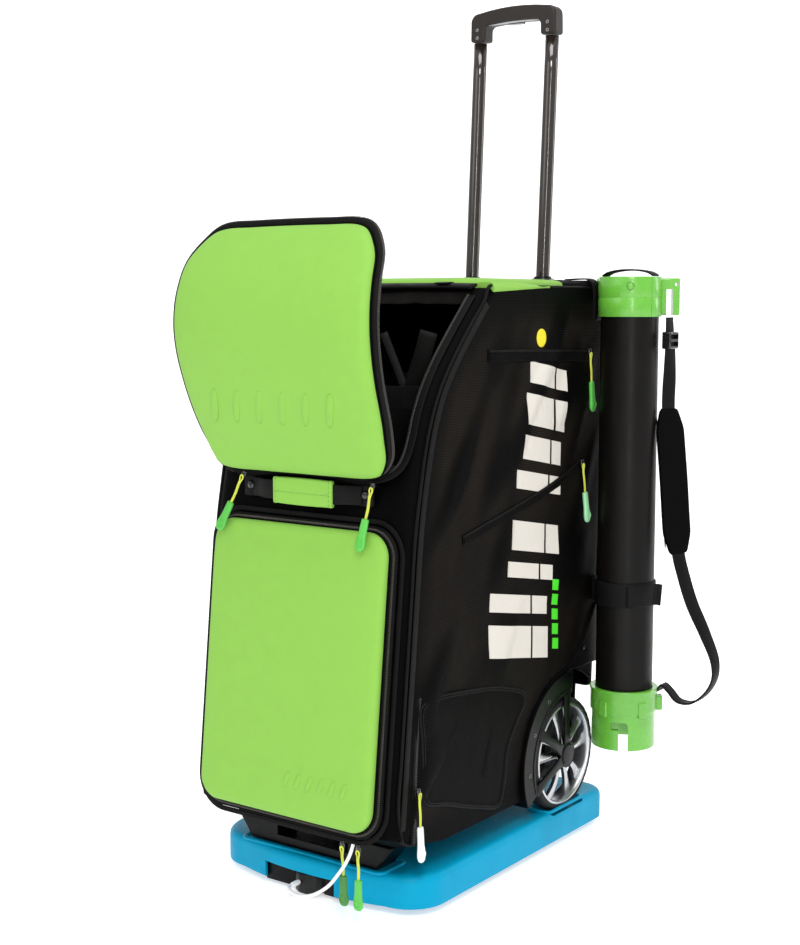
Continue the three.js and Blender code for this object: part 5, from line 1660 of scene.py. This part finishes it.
def build_strap():
    line = smooth_path([(x, 261, z) for x, z in STRAP], 5)

    def facing(path):
        """Normals of the strap, which twists towards the front between its ends."""
        out = []
        for p, t in zip(path, tangents(path)):
            twist = math.radians(32) * share((775 - p.z) / 90) * share((p.z - 250) / 90)
            out.append((Matrix.Rotation(-twist, 3, "Z") @ Vector((t.z, 0, -t.x))).normalized())
        return out
    ups = facing(line)
    sides = [t.cross(u).normalized() for t, u in zip(tangents(line), ups)]
    sweep("strap_webbing", line, flat_profile(22, 2.4), "webbing", up=ups, replaces=("shoulder_strap",))
    for offset in (-8.5, 8.5):
        path = [p + u * 1.3 + v * offset for p, u, v in zip(line, ups, sides)]
        sweep(f"strap_edge_{'front' if offset < 0 else 'rear'}", path, circle(0.5, 6), "satin", up=ups)
    core = [(278, 648), (283, 600), (289, 540), (294, 480), (299, 432)]
    pad_line = smooth_path([(x, 261, z) for x, z in core], 6)
    ups = facing(pad_line)
    sides = [t.cross(u).normalized() for t, u in zip(tangents(pad_line), ups)]
    count = len(pad_line)
    rows = []
    for i, (p, u, v) in enumerate(zip(pad_line, ups, sides)):
        s = min(i, count - 1 - i) / (count - 1)
        width = 23 * min(1.0, 0.62 + 2.6 * s) if s < 0.15 else 23
        thick = 4.9 * min(1.0, 0.55 + 6 * s)
        section = outline_box(-width, width, -thick, thick, min(4.0, thick * 0.8), 4)
        rows.append([p + v * a + u * b for a, b in section])
    pad = skinned("shoulder_pad_body", rows, "plain", replaces=("shoulder_pad",))
    apply_modifier(pad, "SUBSURF", levels=1, render_levels=1)
    middle = [p + u * 5.6 for p, u in zip(pad_line, ups)]
    sweep("shoulder_pad_webbing", middle, flat_profile(20, 1.4), "webbing", up=ups)
    for offset in (-18.5, 18.5):
        path = [p + u * 4.9 + v * offset for p, u, v in zip(pad_line, ups, sides)][2:-2]
        sweep(f"shoulder_pad_binding_{'front' if offset < 0 else 'rear'}", path, circle(1.0, 8), "satin", up=ups[2:-2])
    frame_obj = block("buckle_frame", (272, 286), (247, 275.5), (735, 760), "gloss", None, bevel=2.0)
    hole = block("buckle_hole", (268, 290), (249.2, 273.2), (739, 745.5), "gloss", None)
    hole2 = block("buckle_hole", (268, 290), (249.2, 273.2), (749.5, 756), "gloss", None)
    way = block("buckle_way", (276.4, 281.6), (249.2, 273.2), (730, 765), "gloss", None)
    carve(frame_obj, hole, hole2, way)
    sharpen(frame_obj, 40)
    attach(frame_obj, TABLE)
    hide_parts("strap_buckle")


# ---------- pulls ----------
def build_pulls():
    for node, top, end, tab, body in (
        ("flap_pull_right", (122, -256, 567), (108, -266, 487), "tab_green", "flap_pull_right"),
        ("flap_pull_left", (-97, -256, 569), (-134, -266, 494), "tab_green", "flap_pull_left"),
        ("door_pull_left", (103, -295, 105), (105, -295, 27), "tab_dark", TABLE),
        ("door_pull_right", (129, -295, 105), (128, -295, 26), "tab_green", TABLE),
        ("side_pull_upper", (177, 204, 727), (177, 216, 641), "tab_green", "side_pull_upper"),
        ("side_pull_middle", (178, 184, 564), (179.5, 200, 477), "tab_pale", "side_pull_middle"),
        ("side_pull_lower", (178.5, -232, 173), (182.5, -231, 83), "tab_white", "side_pull_lower"),
    ):
        zip_pull(node, top, end, tab, body)


# ---------- carried-over CAD nodes ----------
CARRIED = {
    "stand_gear": "black", "thrust_bearing": "steel", "drive_pinion": "steel", "trolley_tube_right": "steel",
    "trolley_tube_left": "steel", "wheel_axle": "steel", "ball_hopper": "black", "feed_disc": "lime",
    "feed_motor": "steel", "feed_chute": "satin_tube", "chassis": "steel", "battery_pack": "gloss",
    "control_panel": "black", "speed_knob": "lime", "feed_knob": "lime", "power_switch": "gloss",
    "launcher_frame": "black", "launch_wheel_upper": "soft_rubber", "launch_wheel_lower": "soft_rubber",
    "launch_motor_upper": "steel", "launch_motor_lower": "steel", "tilt_lock_knob": "lime",
}


def finish_carried():
    for name, material in CARRIED.items():
        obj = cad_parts[name]
        for holder in obj.material_slots:
            holder.material = LOOK[material][1]
        bevel = obj.modifiers.new("edge", "BEVEL")
        bevel.width = 0.6 * MM
        bevel.segments = 2
        bevel.limit_method = "ANGLE"
        bevel.angle_limit = math.radians(50)
        bevel.harden_normals = True


build_stage()
build_lead()
build_bag()
build_print()
build_pockets()
build_mouth_inside()
build_door()
build_flap()
build_carry_handle()
build_top()
build_rear()
build_trolley()
for sign, word in SIDES:
    build_wheel(sign, word)
    build_housing(sign, word)
build_tray()
build_tube()
build_strap()
build_pulls()
finish_carried()
